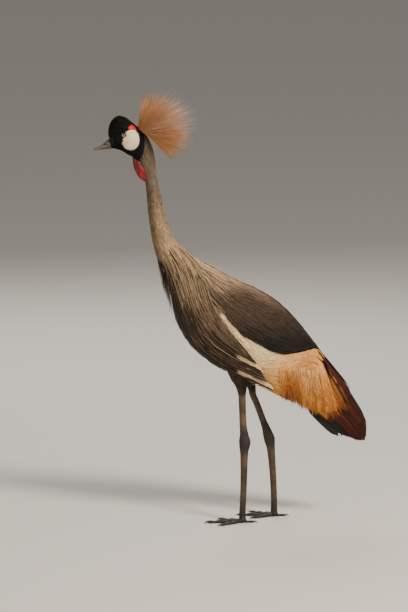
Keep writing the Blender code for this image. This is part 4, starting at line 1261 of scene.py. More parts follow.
@dataclass
class Bill:
    """Upper and lower bill with nostrils, culmen and the gape between."""

    upper: tuple = (
        (-398.6, 957.3, 956.3, 0.5), (-397.2, 959.0, 956.4, 1.1), (-395, 960.4, 956.8, 1.6),
        (-389, 964.2, 957.8, 2.8), (-382, 968.2, 958.8, 4.1), (-372, 974.0, 960.3, 5.9),
        (-362, 982.0, 961.6, 7.6), (-354, 985.5, 962.6, 8.6), (-345, 983.5, 963.0, 9.0),
    )
    lower: tuple = (
        (-396.6, 955.8, 954.8, 0.5), (-394, 956.6, 954.5, 1.3), (-389, 957.5, 954.6, 2.3),
        (-382, 958.5, 954.8, 3.6), (-372, 960.0, 955.9, 5.3), (-362, 961.3, 957.0, 6.9),
        (-352, 962.3, 958.8, 7.8), (-343, 962.7, 959.6, 8.4),
    )
    nostril: tuple = (-367.5, 971.0)
    nostril_size: tuple = (4.6, 1.5)
    nostril_depth: float = 2.0
    nostril_rim: float = 0.5
    pinch: float = 0.28

    def half(self, rows: tuple, ridge: float) -> Solid:
        """Makes one half, whose back or keel is drawn in to a ridge.

        Args:
            rows: Rings of (y, upper z, lower z, half width).
            ridge: 1 for a ridge on top, -1 for one below.

        Returns:
            A closed tube, with a nostril in each side where the ridge is on top.
        """
        table = np.array(rows, float)

        def shape(u: Array, v: Array) -> Array:
            """Points on the half."""
            y, up, low, wide = np.moveaxis(spline(table, v * (len(table) - 1)), -1, 0)
            turn = u * 2 * np.pi
            c, s = np.cos(turn), np.sin(turn)
            narrow = 1 - self.pinch * np.clip(c * ridge, 0, 1) ** 1.5
            x = wide * np.sign(s) * np.abs(s) ** 0.85 * narrow
            z = (up + low) / 2 + (up - low) / 2 * c
            away = ((y - self.nostril[0]) / self.nostril_size[0]) ** 2
            away = away + ((z - self.nostril[1] - 0.22 * (y - self.nostril[0])) / self.nostril_size[1]) ** 2
            pit = self.nostril_depth * np.exp(-away * 1.4)
            rim = self.nostril_rim * np.exp(-((np.sqrt(away) - 1.7) ** 2) * 4)
            x = x - np.sign(x) * pit * (ridge > 0)
            x = x + np.sign(x) * rim * (ridge > 0)
            return np.stack([x, y, z], -1)

        return wrap(56, 110, shape)

    def build(self) -> None:
        """Makes both halves."""
        horn = HornFinish("horn_bill", (0.035, 0.030, 0.025), (0.17, 0.14, 0.11)).make()
        for name, rows, ridge in (("upper", self.upper, 1.0), ("lower", self.lower, -1.0)):
            piece = add_piece(f"bill_horn_{name}", [self.half(rows, ridge)])
            _, y, z = own_points(piece).T
            off = [(p - q) / size for p, q, size in zip((y, z), self.nostril, self.nostril_size)]
            away = np.hypot(*off)
            # Darker at the bill's root, which is its own colour, and darker round the nostril, which is
            # painted shade in its pit.
            shade = blend(-346, -368, y) * (1 - 0.85 * blend(1.5, 0.6, away))
            paint(piece, mix((0.12, 0.12, 0.12), WHITE, shade))
            finish_piece(piece, horn, [f"bill_{name}"])


@dataclass
class Eyes:
    """Eyeballs with their lids."""

    radius: float = 6.2
    lid: tuple = (5.2, 4.6)
    lid_tube: float = 0.95

    def ball(self, side: int) -> Solid:
        """Makes one eyeball, its pole to the side."""
        bm = bmesh.new()
        turn = Matrix.Rotation(math.radians(90), 4, "Y")
        bmesh.ops.create_uvsphere(bm, u_segments=40, v_segments=28, radius=self.radius, matrix=turn)
        bmesh.ops.translate(bm, vec=(side * EYE[0], EYE[1], EYE[2]), verts=bm.verts)
        return bm

    def lids(self, side: int) -> Solid:
        """Makes the ring of lids round the eyeball.

        Args:
            side: 1 for the left.

        Returns:
            The closed ring.
        """
        reach = side * (EYE[0] + math.sqrt(self.radius**2 - self.lid[1] ** 2) + 0.25)

        def shape(u: Array, v: Array) -> Array:
            """Points on the ring, thicker in the upper lid."""
            turn, about = u * 2 * np.pi, v * 2 * np.pi
            fat = self.lid_tube * (1 + 0.45 * np.clip(np.sin(turn), 0, 1))
            out = fat * np.cos(about) * 1.5
            y = EYE[1] + (self.lid[0] + out) * np.cos(turn) * 1.06
            z = EYE[2] + (self.lid[1] + out) * np.sin(turn) * 0.98
            x = reach + side * fat * (np.sin(about) - 0.35 * (out > 0))
            return np.stack([x, y, z], -1)

        return wrap(48, 14, shape)

    def build(self) -> None:
        """Makes eyes and lids."""
        lids = BareFinish("lid_skin", (0.05, 0.047, 0.045), (0.018, 0.017, 0.017), 1400).make()
        for side, name in SIDES:
            eye = add_piece(f"eyeball_{name}", [self.ball(side)])
            centre = tuple((np.array((side * EYE[0], EYE[1], EYE[2])) + SHIFT) * MM)
            finish_piece(eye, EyeFinish(f"wet_eye_{name}", centre).make(), [f"eye_{name}"])
            finish_piece(add_piece(f"lids_{name}", [self.lids(side)]), lids, [])


@dataclass
class Cheeks:
    """Bare white cheeks and the red spots over them, laid on the head."""

    white: tuple = (
        (-317.2, 1004.5), (-306.8, 1009.8), (-292, 1009.3), (-283, 998.5), (-280.2, 983), (-285.6, 966.2),
        (-299.6, 956.4), (-316.2, 960.3), (-325.4, 974), (-322.5, 986.0), (-313.8, 994.5),
    )
    red: tuple = ((-310.8, 1011.6), (-305.5, 1023.5), (-298, 1022), (-287.6, 1010.2), (-298.3, 1008.2))
    proud: float = 0.9
    sunk: float = 2.5
    fallback: float = 12.0

    def patch(self, outline: tuple, side: int, ground: Ground, puff: float) -> Solid:
        """A closed pad with that outline, following the head.

        Args:
            outline: Corner points (y, z), smoothed by a closed curve.
            side: 1 for the left.
            ground: What it lies on.
            puff: How much it swells towards its middle.

        Returns:
            The pad.
        """
        corners = np.array((*outline[-2:], *outline, *outline[:3]), float)
        middle = np.array(outline, float).mean(0)

        def shape(u: Array, v: Array) -> Array:
            """Points on the pad, its top first and its underside sunk into the head."""
            edge = spline(corners, 2 + u * len(outline))
            out = np.minimum(v * 2, 1) * (v <= 0.5) + (2 - 2 * v) * (v > 0.5)
            out = np.clip(out, 0.001, 1) ** 0.8
            place = middle + (edge - middle) * out[:, None]
            top = v <= 0.5
            rise = self.proud * (1 - out**6) + puff * (1 - out**2)
            found = np.empty((len(u), 3))
            for i, (y, z) in enumerate(place):
                hit = ground.tree.ray_cast(Vector((side * 60, y, z)), Vector((-side, 0, 0)))[0]
                x = abs(hit.x) if hit else self.fallback
                found[i] = (side * (x + (rise[i] if top[i] else -self.sunk * (1 - out[i] ** 4))), y, z)
            return found

        return wrap(72, 40, shape)

    def build(self, ground: Ground) -> None:
        """Makes both sides' patches.

        Args:
            ground: The head that they lie on.
        """
        white = BareFinish(
            "cheek_skin", (0.82, 0.70, 0.54), (0.68, 0.50, 0.33), 1100, roughness=0.5, depth=0.4
        ).make()
        red = BareFinish("red_skin", (0.60, 0.003, 0.003), (0.38, 0.002, 0.002), 900, roughness=0.65).make()
        for side, name in SIDES:
            cheek = add_piece(f"cheek_bare_{name}", [self.patch(self.white, side, ground, 0.8)])
            finish_piece(cheek, white, [f"cheek_{name}"])
            spot = add_piece(f"spot_bare_{name}", [self.patch(self.red, side, ground, 1.3)])
            finish_piece(spot, red, [f"red_spot_{name}"])


@dataclass
class Wattle:
    """The bare red wattle under the throat, in soft upright folds."""

    rings: tuple = (
        (945, -296, -284, 3), (940, -298, -280, 6.5), (932, -297.5, -274, 9), (921, -296.5, -268, 11),
        (909, -295, -263, 12.2), (897, -290.5, -260, 12.2), (887, -284, -259, 10.3), (880, -277, -260, 7),
        (875.5, -270, -263, 2.5),
    )
    folds: int = 7
    fold_depth: float = 0.9
    wrinkles: int = 17
    wrinkle_depth: float = 0.35
    cleft_depth: float = 1.6

    def build(self) -> None:
        """Makes the wattle."""
        table = np.array(self.rings, float)

        def shape(u: Array, v: Array) -> Array:
            """Points on the wattle, folded and cleft in front."""
            z, front, back, wide = np.moveaxis(spline(table, v * (len(table) - 1)), -1, 0)
            turn = u * 2 * np.pi
            edge = np.minimum(blend(0, 0.15, v), blend(0, 0.12, 1 - v))
            fold = self.fold_depth * edge * np.cos(self.folds * turn + 2.2 * np.sin(v * 5))
            fold = fold + self.wrinkle_depth * edge * np.cos(self.wrinkles * turn + 9 * v)
            cleft = self.cleft_depth * edge * np.exp(-((np.cos(turn) + 1) ** 2) * 30) * blend(0.3, 0.8, v)
            y = (front + back) / 2 + ((back - front) / 2 + fold - cleft) * np.cos(turn)
            x = (wide + fold) * np.sin(turn)
            z = z + 0.6 * edge * np.sin(3 * turn + 4 * v)
            return np.stack([x, y, z], -1)

        red = BareFinish(
            "wattle_skin", (0.27, 0.007, 0.007), (0.10, 0.003, 0.004), 620, (1, 1, 0.6), 0.36, 0.8
        ).make()
        finish_piece(add_piece("wattle_folds", [wrap(90, 80, shape)], 80), red, ["wattle"])


@dataclass
class Velvet:
    """Short black plush of the cap, lores, chin and the band behind the cheek.

    It stays clear of the eye's round, of the bill's root as (y, z), and of the wattle's root as
    (z, y, half width). Eye and cheeks lie on the flanks of the head, further out than flank.
    """

    pitch: tuple = (1.9, 1.35)
    length: float = 4.3
    width: float = 0.62
    eye_round: float = 7.4
    bill_root: tuple = (-347, 988)
    wattle_root: tuple = (946, -268, 10)
    flank: float = 9.0
    gloss: tuple = (0.022, 0.021, 0.023)

    def build(self) -> None:
        """Makes the plush."""
        at, turn, rng = scatter_trunk(0.4, 11.2, self.pitch, 5)
        base = TRUNK.point(at, turn)
        side = np.abs(base[:, 0])
        clear = at < velvet_border(np.abs(turn)) + rng.normal(0, 0.10, len(at))
        y, z = base[:, 1], base[:, 2]
        wide = side > self.flank
        for outline in (Cheeks().white, Cheeks().red):
            clear &= ~(wide & inside(y + 1.5, z, np.array(outline), 1.0))
        clear &= ~((np.hypot(y - EYE[1], z - EYE[2]) < self.eye_round) & wide)
        clear &= ~((y < self.bill_root[0]) & (z < self.bill_root[1]))
        low, ahead, across = self.wattle_root
        clear &= ~((z < low) & (y < ahead) & (side < across))
        at, turn, y, z = at[clear], turn[clear], y[clear], z[clear]
        cap = blend(996, 1010, z) * blend(-285, -312, y)
        reach = self.length * (0.75 + 0.5 * cap) * rng.uniform(0.8, 1.2, len(at)) / ring_length(at)
        lifts = (-0.9, 1.0 + 1.3 * cap * rng.uniform(0.6, 1.3, len(at)))
        colours = mix(VELVET, self.gloss, rng.uniform(0, 1, len(at)))
        coat = Coat("plush_black")
        drift = rng.normal(0, 4, len(at))
        coat.add(
            Cut.TUFT, TRUNK.point, (at, turn), (at + reach, turn + drift), lifts, self.width,
            (colours * 0.6, colours, colours), trunk_roots(at, turn), rng.normal(0, 0.3, len(at)),
        )
        finish_piece(coat.build(), PlumageFinish("plush", 0.8, 0.02, 8, 0.1, 0.08).make(), [])


def inside(y: Array, z: Array, outline: Array, margin: float) -> Array:
    """Tests points against an outline.

    Args:
        y: The points' y.
        z: Their z.
        outline: Corners as (y, z).
        margin: How much the outline is shrunk.

    Returns:
        Whether each point lies within it.
    """
    middle = outline.mean(0)
    out = outline - middle
    angle, reach = np.arctan2(out[:, 1], out[:, 0]), np.hypot(out[:, 1], out[:, 0])
    order = np.argsort(angle)
    turn = np.arctan2(z - middle[1], y - middle[0])
    limit = np.interp(turn, angle[order], reach[order], period=2 * np.pi)
    return np.hypot(z - middle[1], y - middle[0]) < limit - margin


@dataclass
class Crest:
    """The stiff golden crown, bristle by bristle, fanned out of the back of the crown."""

    root: tuple = (0.0, -271.0, 1004.0)
    down: tuple = (0.0, 0.69, -0.72)
    count: int = 1450
    spread: tuple = (20.0, 11.0)
    middle: float = 18.0
    fan: tuple = (64.0, 50.0)
    length: float = 145.0
    shortening: float = 0.42
    sunk: float = 4.0
    bristle: float = 0.40
    dot: float = 0.85
    pale: tuple = (0.95, 0.68, 0.34)
    brown: tuple = (0.50, 0.19, 0.045)
    dark: tuple = (0.035, 0.012, 0.005)

    def build(self) -> None:
        """Makes the bristles, evenly spread by the golden angle, and their dark end dots."""
        rng = np.random.default_rng(3)
        k = np.arange(self.count)
        reach = np.sqrt((k + 0.5) / self.count)
        golden = math.pi * (3 - math.sqrt(5))
        a, b = reach * np.cos(k * golden), reach * np.sin(k * golden)
        a, b = a + rng.normal(0, 0.03, self.count), b + rng.normal(0, 0.03, self.count)
        roots = np.array(self.root) + np.outer(a * self.spread[0], self.down)
        roots = roots + np.outer(b * self.spread[1], (1, 0, 0))
        tilt = np.radians(self.middle - a * self.fan[0]) + rng.normal(0, 0.04, self.count)
        swing = np.radians(b * self.fan[1]) + rng.normal(0, 0.035, self.count)
        ahead, rise = np.cos(swing) * np.cos(tilt), np.sin(tilt) * np.cos(swing)
        heading = unit(np.stack([np.sin(swing), ahead, rise], -1))
        length = self.length * (1 - self.shortening * reach**2) * rng.uniform(0.84, 1.02, self.count)
        share = Cut.BRISTLE.shares[None, :, None]
        bow = np.array((0, 0.4, -0.9)) * rng.uniform(0.0, 5.0, (self.count, 1))
        lines = roots[:, None] - heading[:, None] * self.sunk
        lines = lines + heading[:, None] * share * length[:, None, None]
        lines = lines + bow[:, None] * share**2 + rng.normal(0, 0.8, (self.count, 1, 3)) * share**2
        normals = np.broadcast_to(np.cross(heading, (1.0, 0.2, 0.1))[:, None], lines.shape)
        colours = mix(CREST_GOLD, self.pale, rng.uniform(0, 1, self.count) ** 2)
        colours = mix(colours, self.brown, (rng.uniform(0, 1, self.count) < 0.35) * 0.8)
        tips = colours * rng.choice((1.1, 0.8, 0.15), (self.count, 1), p=(0.35, 0.25, 0.4))
        coat = Coat("crest_bristles")
        places = np.stack([0.5 + 0.4 * a, 0.5 + 0.4 * b], -1)
        coat.add_lines(Cut.BRISTLE, lines, normals, self.bristle, (colours * 0.75, tips, colours), places)
        ends = lines[:, -1:] + heading[:, None] * np.array([-2.2, 0.0, 1.6])[None, :, None]
        coat.add_lines(Cut.TUFT, ends, normals[:, :3], self.dot, (self.dark,) * 3, places)
        gold = PlumageFinish("crest_straw", 0.5, 0.3, 30, 0.2).make()
        finish_piece(coat.build(), gold, ["crest"])


# The coat


@dataclass
class NeckCoat:
    """Short pale grey feathers of the neck, longer towards the breast."""

    pitch: tuple = (6.0, 2.3)

    def build(self) -> None:
        """Makes the neck's feathers."""
        at, turn, rng = scatter_trunk(7.0, 16.8, self.pitch, 17)
        keep = at > velvet_border(np.abs(turn)) - 0.05
        at, turn = at[keep], turn[keep]
        n = len(at)
        grow = blend(9, 16.5, at)
        length = (13 + 22 * grow) * rng.uniform(0.8, 1.2, n)
        colours = vary(trunk_colour(at, turn), rng, 0.13)
        streak = wander(np.stack([turn / 30, at / 12], -1), 0.8, 2)[:, None]
        colours = colours * (1 + 0.14 * streak)
        coat = Coat("coat_neck")
        coat.add(
            Cut.HAIR, TRUNK.point, (at, turn),
            (at + length / ring_length(at), turn + rng.normal(0, 2.2, n)),
            (-1.6, (0.6 + 1.2 * grow) * rng.uniform(0.5, 1.4, n)), 1.05 + 0.75 * grow,
            (colours * 0.75, colours, colours * 1.12), trunk_roots(at, turn), rng.normal(0, 0.15, n),
        )
        finish_piece(coat.build(), PlumageFinish("plumage_neck").make(), [])


@dataclass
class BreastCoat:
    """Undercoat of narrow plumes over breast and shoulders, with a few loose locks in front.

    Each lock is (ring, turn, rings long, lift at the tip).
    """

    pitch: tuple = (10.0, 5.2)
    length: float = 84.0
    strands: int = 26
    locks: tuple = ((16.9, 168, 2.7, 15.0), (17.5, 176, 2.5, 15.0), (18.3, 170, 2.2, 11.0))

    def build(self, ground: Ground) -> None:
        """Makes the breast plumes.

        Args:
            ground: What they lie on.
        """
        at, turn, rng = scatter_trunk(15.4, 20.6, self.pitch, 29)
        keep = at < 17.4 + 3.4 * blend(35, 95, np.abs(turn))
        at, turn = at[keep], turn[keep]
        n = len(at)
        around = np.abs(turn)
        reach = self.length * rng.uniform(0.7, 1.12, n) * (0.62 + 0.38 * blend(15.5, 17.5, at))
        base = trunk_colour(at + 0.5, turn)
        low = blend(16.8, 18.6, at) * blend(35, 90, around)
        deep = rng.uniform(0, 1, n) < 0.15 + 0.55 * low
        colours = np.where(deep[:, None], mix(base, UMBER, np.full(n, 0.8)), base)
        colours = vary(colours, rng, 0.14)
        pale = mix(colours, TAN, 0.1 + 0.5 * rng.uniform(0, 1, n))
        high = blend(100, 40, around) * blend(15.8, 17.5, at)
        coat = Coat("coat_breast")
        coat.add(
            Cut.LANCE, ground.over(TRUNK.point), (at, turn),
            (at + reach / ring_length(at + 0.8), turn + rng.normal(0, 3, n) + 3 * np.sign(turn)),
            (-2.5, rng.uniform(0.5, 2.0, n) + 3.0 * high), rng.uniform(1.7, 2.8, n),
            (colours * 0.6, colours, pale), trunk_roots(at, turn), rng.normal(0, 0.25, n),
            waver=rng.normal(0, 1.5, n),
        )
        for at_lock, turn_lock, rings, lift in self.locks:
            count = self.strands
            for side, _ in SIDES:
                ats = at_lock + rng.normal(0, 0.12, count)
                turns = side * (turn_lock + rng.normal(0, 3.5, count))
                shade = vary(mix(UMBER, ASH, rng.uniform(0, 0.8, count)), rng, 0.15)
                ends = (ats + rings * rng.uniform(0.6, 1.05, count), turns + rng.normal(0, 2, count))
                lifts = (-2.5, lift * rng.uniform(0.3, 1.0, count))
                coat.add(
                    Cut.HAIR, TRUNK.point, (ats, turns), ends, lifts, rng.uniform(0.6, 1.2, count),
                    (shade, shade, shade * 1.3), trunk_roots(ats, turns), rng.normal(0, 0.3, count),
                    power=0.9,
                )
        finish_piece(coat.build(), PlumageFinish("plumage_breast").make(), [])


@dataclass
class FlankCoat:
    """Long fine plumes that run down the breast, then sweep back over the front of the wing.

    They follow lines at even shares of the way, each with points (along, off) from the
    uppermost plume to the lowest.
    """

    flow: tuple = (
        ((-44, 50), (-50, 34), (-55, 12)),
        ((62, 38), (34, 7), (14, -30)),
        ((138, -9), (117, -50), (106, -89)),
        ((206, -33), (203, -80), (213, -129)),
        ((281, -49), (329, -62), (398, -92)),
    )
    lobes: tuple = ((0.44, 0.60), (0.86, 0.95))
    lobe_start: float = 0.85
    lobe_count: int = 90
    count: int = 2600
    strands: int = 150

    def surface(self, side: int, ground: Ground) -> Surface:
        """Reads the body's side by (share across the flow, share of the way, lift).

        Args:
            side: 1 for the left.
            ground: What the plumes lie on.

        Returns:
            The surface, smooth along the flow and raised onto the ground.
        """
        lines = self.flow

        def flow(across: Array, way: Array, rise: Array) -> Array:
            """Points straight out from the flow lines."""
            knots = np.stack([np.stack(on_line(line, across), -1) for line in lines])
            place = np.clip(way, 0, 1.15) * (len(lines) - 1)
            i = np.clip(place.astype(int), 0, len(lines) - 2)
            f = (place - i)[..., None]
            near = np.maximum(i - 1, 0), i, i + 1, np.minimum(i + 2, len(lines) - 1)
            a, b, c, d = (np.take_along_axis(knots, k[None, ..., None], 0)[0] for k in near)
            spot = b + (c - a) / 2 * f + (2 * a - 5 * b + 4 * c - d) / 2 * f**2
            spot = spot + (3 * b - a - 3 * c + d) / 2 * f**3
            y, z = axis_point(spot[..., 0], spot[..., 1])
            return np.stack([side * (40.0 + rise), y, z], -1)

        return ground.over(flow, 90.0, 45.0)

    def in_lobes(self, across: Array, margin: float = 0.0) -> Array:
        """Whether places across the flow lie in a lobe, or in a margin round it."""
        spans = [(across > first - margin) & (across < last + margin) for first, last in self.lobes]
        return np.any(spans, axis=0)

    def add_lobes(self, coat: Coat, surface: Surface, side: int, rng: Draws) -> None:
        """Adds the pale plumes that end each lobe.

        Args:
            coat: The coat that takes them.
            surface: What they lie along.
            side: 1 for the left.
            rng: The random draws.
        """
        n = self.lobe_count
        for first, last in self.lobes:
            across, way = rng.uniform(first, last, n), np.sort(rng.uniform(0.86, 1.0, n))[::-1]
            colours = vary(mix(STRAW, CREAM, rng.uniform(0.4, 1.0, n)), rng, 0.05)
            ends = (across + rng.normal(0, 0.01, n), way + rng.uniform(0.12, 0.16, n))
            lifts = (-2.5, rng.uniform(0.8, 1.8, n))
            coat.add(
                Cut.LANCE, surface, (across, way), ends, lifts, rng.uniform(1.3, 2.0, n),
                (colours * 0.9, colours, colours), wing_roots(250 + across * 60, 1.4 + way, side),
                rng.normal(0, 0.1, n),
            )

    def add_plumes(self, coat: Coat, surface: Surface, side: int, rng: Draws) -> None:
        """Adds the many plumes, sandy in front and darker along the way, with the arguments of the lobes."""
        n = self.count
        way = np.sort(rng.uniform(0.0, 0.86, n))[::-1]
        across = rng.uniform(0, 1, n)
        end = way + rng.uniform(0.15, 0.30, n)
        lobed = self.in_lobes(across)
        end = np.where(lobed, np.minimum(end, self.lobe_start + rng.normal(0, 0.02, n)), end)
        end = np.minimum(end, 1.0 + rng.normal(0, 0.02, n))
        keep = (end > way + 0.07) & (rng.uniform(0, 1, n) < 0.35 + blend(0.0, 0.2, way))
        across, way, end, lobed = across[keep], way[keep], end[keep], lobed[keep]
        n = len(way)
        dusk = blend(0.30, 0.66, end - 0.06 + 0.22 * blend(0.3, 1.0, across))
        band = wander(np.stack([across, way * 0.25], -1), 0.07, 11)
        thick = 0.18 * blend(0.03, 0.12, way) + 0.3 * blend(0.14, 0.36, way) + 0.5 * dusk
        thick = thick + 0.25 * blend(0.0, 0.5, band) * blend(0.03, 0.16, way)
        # Scattered dark plumes, and the darker roots given below, are partly the plumes' own dark colour and
        # partly painted shade in the gaps between plumes.
        deep = rng.uniform(0, 1, n) < thick * blend(0.0, 0.25, across + 0.6 * way)
        base = mix(mix(SAND, TAN, rng.uniform(0, 1, n) * blend(0.1, 0.3, end)), UMBER, dusk)
        base = np.where(deep[:, None], mix(UMBER, SOOT, rng.uniform(0, 1, n)), base)
        base = vary(base, rng, 0.15)
        rim = np.where(rng.uniform(0, 1, (n, 1)) < 0.12, mix(TAN, FAWN, blend(0.5, 1.0, end)), base)
        drift = np.where(lobed, 0.3, 1.0) * rng.normal(0, 0.02, n)
        coat.add(
            Cut.LANCE, surface, (across, way), (np.clip(across + drift, 0, 1), end),
            (-3.0, rng.uniform(1.0, 4.5, n)), rng.uniform(0.7, 1.5, n), (base * 0.75, base, rim),
            wing_roots(100 + way * 200, 1.2 + across, side), rng.normal(0, 0.45, n),
        )

    def add_strands(self, coat: Coat, surface: Surface, side: int, rng: Draws) -> None:
        """Adds a few fine pale strands on top, with the arguments of the lobes."""
        n = self.strands
        way = np.sort(rng.uniform(0.22, 0.72, n))[::-1]
        across = rng.uniform(0, 1, n) ** 1.4
        end = np.minimum(way + rng.uniform(0.22, 0.42, n), 0.98)
        end = np.where(self.in_lobes(across, 0.03), np.minimum(end, self.lobe_start), end)
        shade = vary(mix(TAN, FAWN, blend(0.40, 0.9, end)), rng, 0.12)
        ends = (np.clip(across + rng.normal(0, 0.012, n), 0, 1), end)
        coat.add(
            Cut.HAIR, surface, (across, way), ends, (0.0, rng.uniform(3.0, 5.5, n)),
            rng.uniform(0.28, 0.42, n), (shade * 0.4, shade, shade),
            wing_roots(100 + way * 200, 1.2 + across, side), rng.normal(0, 0.3, n),
            waver=rng.normal(0, 0.006, n),
        )

    def build(self, ground: Ground) -> None:
        """Makes both flanks.

        Args:
            ground: What they lie on.
        """
        dark, cream = Coat("coat_flank"), Coat("coat_lobes")
        for side, _ in SIDES:
            rng = np.random.default_rng(41)
            surface = self.surface(side, ground)
            self.add_lobes(cream, surface, side, rng)
            self.add_plumes(dark, surface, side, rng)
            self.add_strands(dark, surface, side, rng)
        finish_piece(dark.build(), PlumageFinish("plumage_flank").make(), [])
        finish_piece(cream.build(), PlumageFinish("plumage_lobe").make(), [])


@dataclass
class BellyCoat:
    """Short dark feathers of belly, vent, rump and thighs."""

    pitch: tuple = (11.0, 6.5)
    thigh_count: int = 420

    def build(self, skin: Skin) -> None:
        """Makes the under feathers.

        Args:
            skin: The skin with the thighs that they cover.
        """
        at, turn, rng = scatter_trunk(19.4, 28.2, self.pitch, 61)
        n = len(at)
        colours = vary(trunk_colour(at, np.maximum(np.abs(turn), 100)), rng, 0.18)
        coat = Coat("coat_belly")
        coat.add(
            Cut.LANCE, TRUNK.point, (at, turn), (at + 40 * rng.uniform(0.8, 1.2, n) / ring_length(at), turn),
            (-3, rng.uniform(0.5, 3, n)), rng.uniform(3, 4.6, n), (colours * 0.7, colours, colours * 1.25),
            trunk_roots(at, turn), rng.normal(0, 0.15, n),
        )
        for (side, _), rows in zip(SIDES, skin.thighs):
            table = np.array(rows, float)

            def thigh(v: Array, turns: Array, lift: Array) -> Array:
                """Points on the thigh by share of its length and turn."""
                x, y, z, wide, deep = np.moveaxis(spline(table, v * (len(table) - 1)), -1, 0)
                return np.stack([x + (wide + lift) * np.cos(turns), y + (deep + lift) * np.sin(turns), z], -1)

            count = self.thigh_count
            v = np.sort(rng.uniform(0, 0.84, count))
            turns = rng.uniform(0, 2 * np.pi, count)
            shade = vary(mix(UMBER, SOOT, rng.uniform(0, 1, count)), rng, 0.15)
            ends = (v + rng.uniform(0.16, 0.28, count), turns)
            lifts = (-1.5, rng.uniform(0.4, 1.6, count))
            width = rng.uniform(1.1, 2.0, count) * (1.25 - 0.5 * v)
            coat.add(
                Cut.LANCE, thigh, (v, turns), ends, lifts, width, (shade * 0.7, shade, shade * 1.3),
                wing_roots(np.full(count, 300.0) + v * 60, turns / 2, side),
            )
        finish_piece(coat.build(), PlumageFinish("plumage_belly").make(), [])


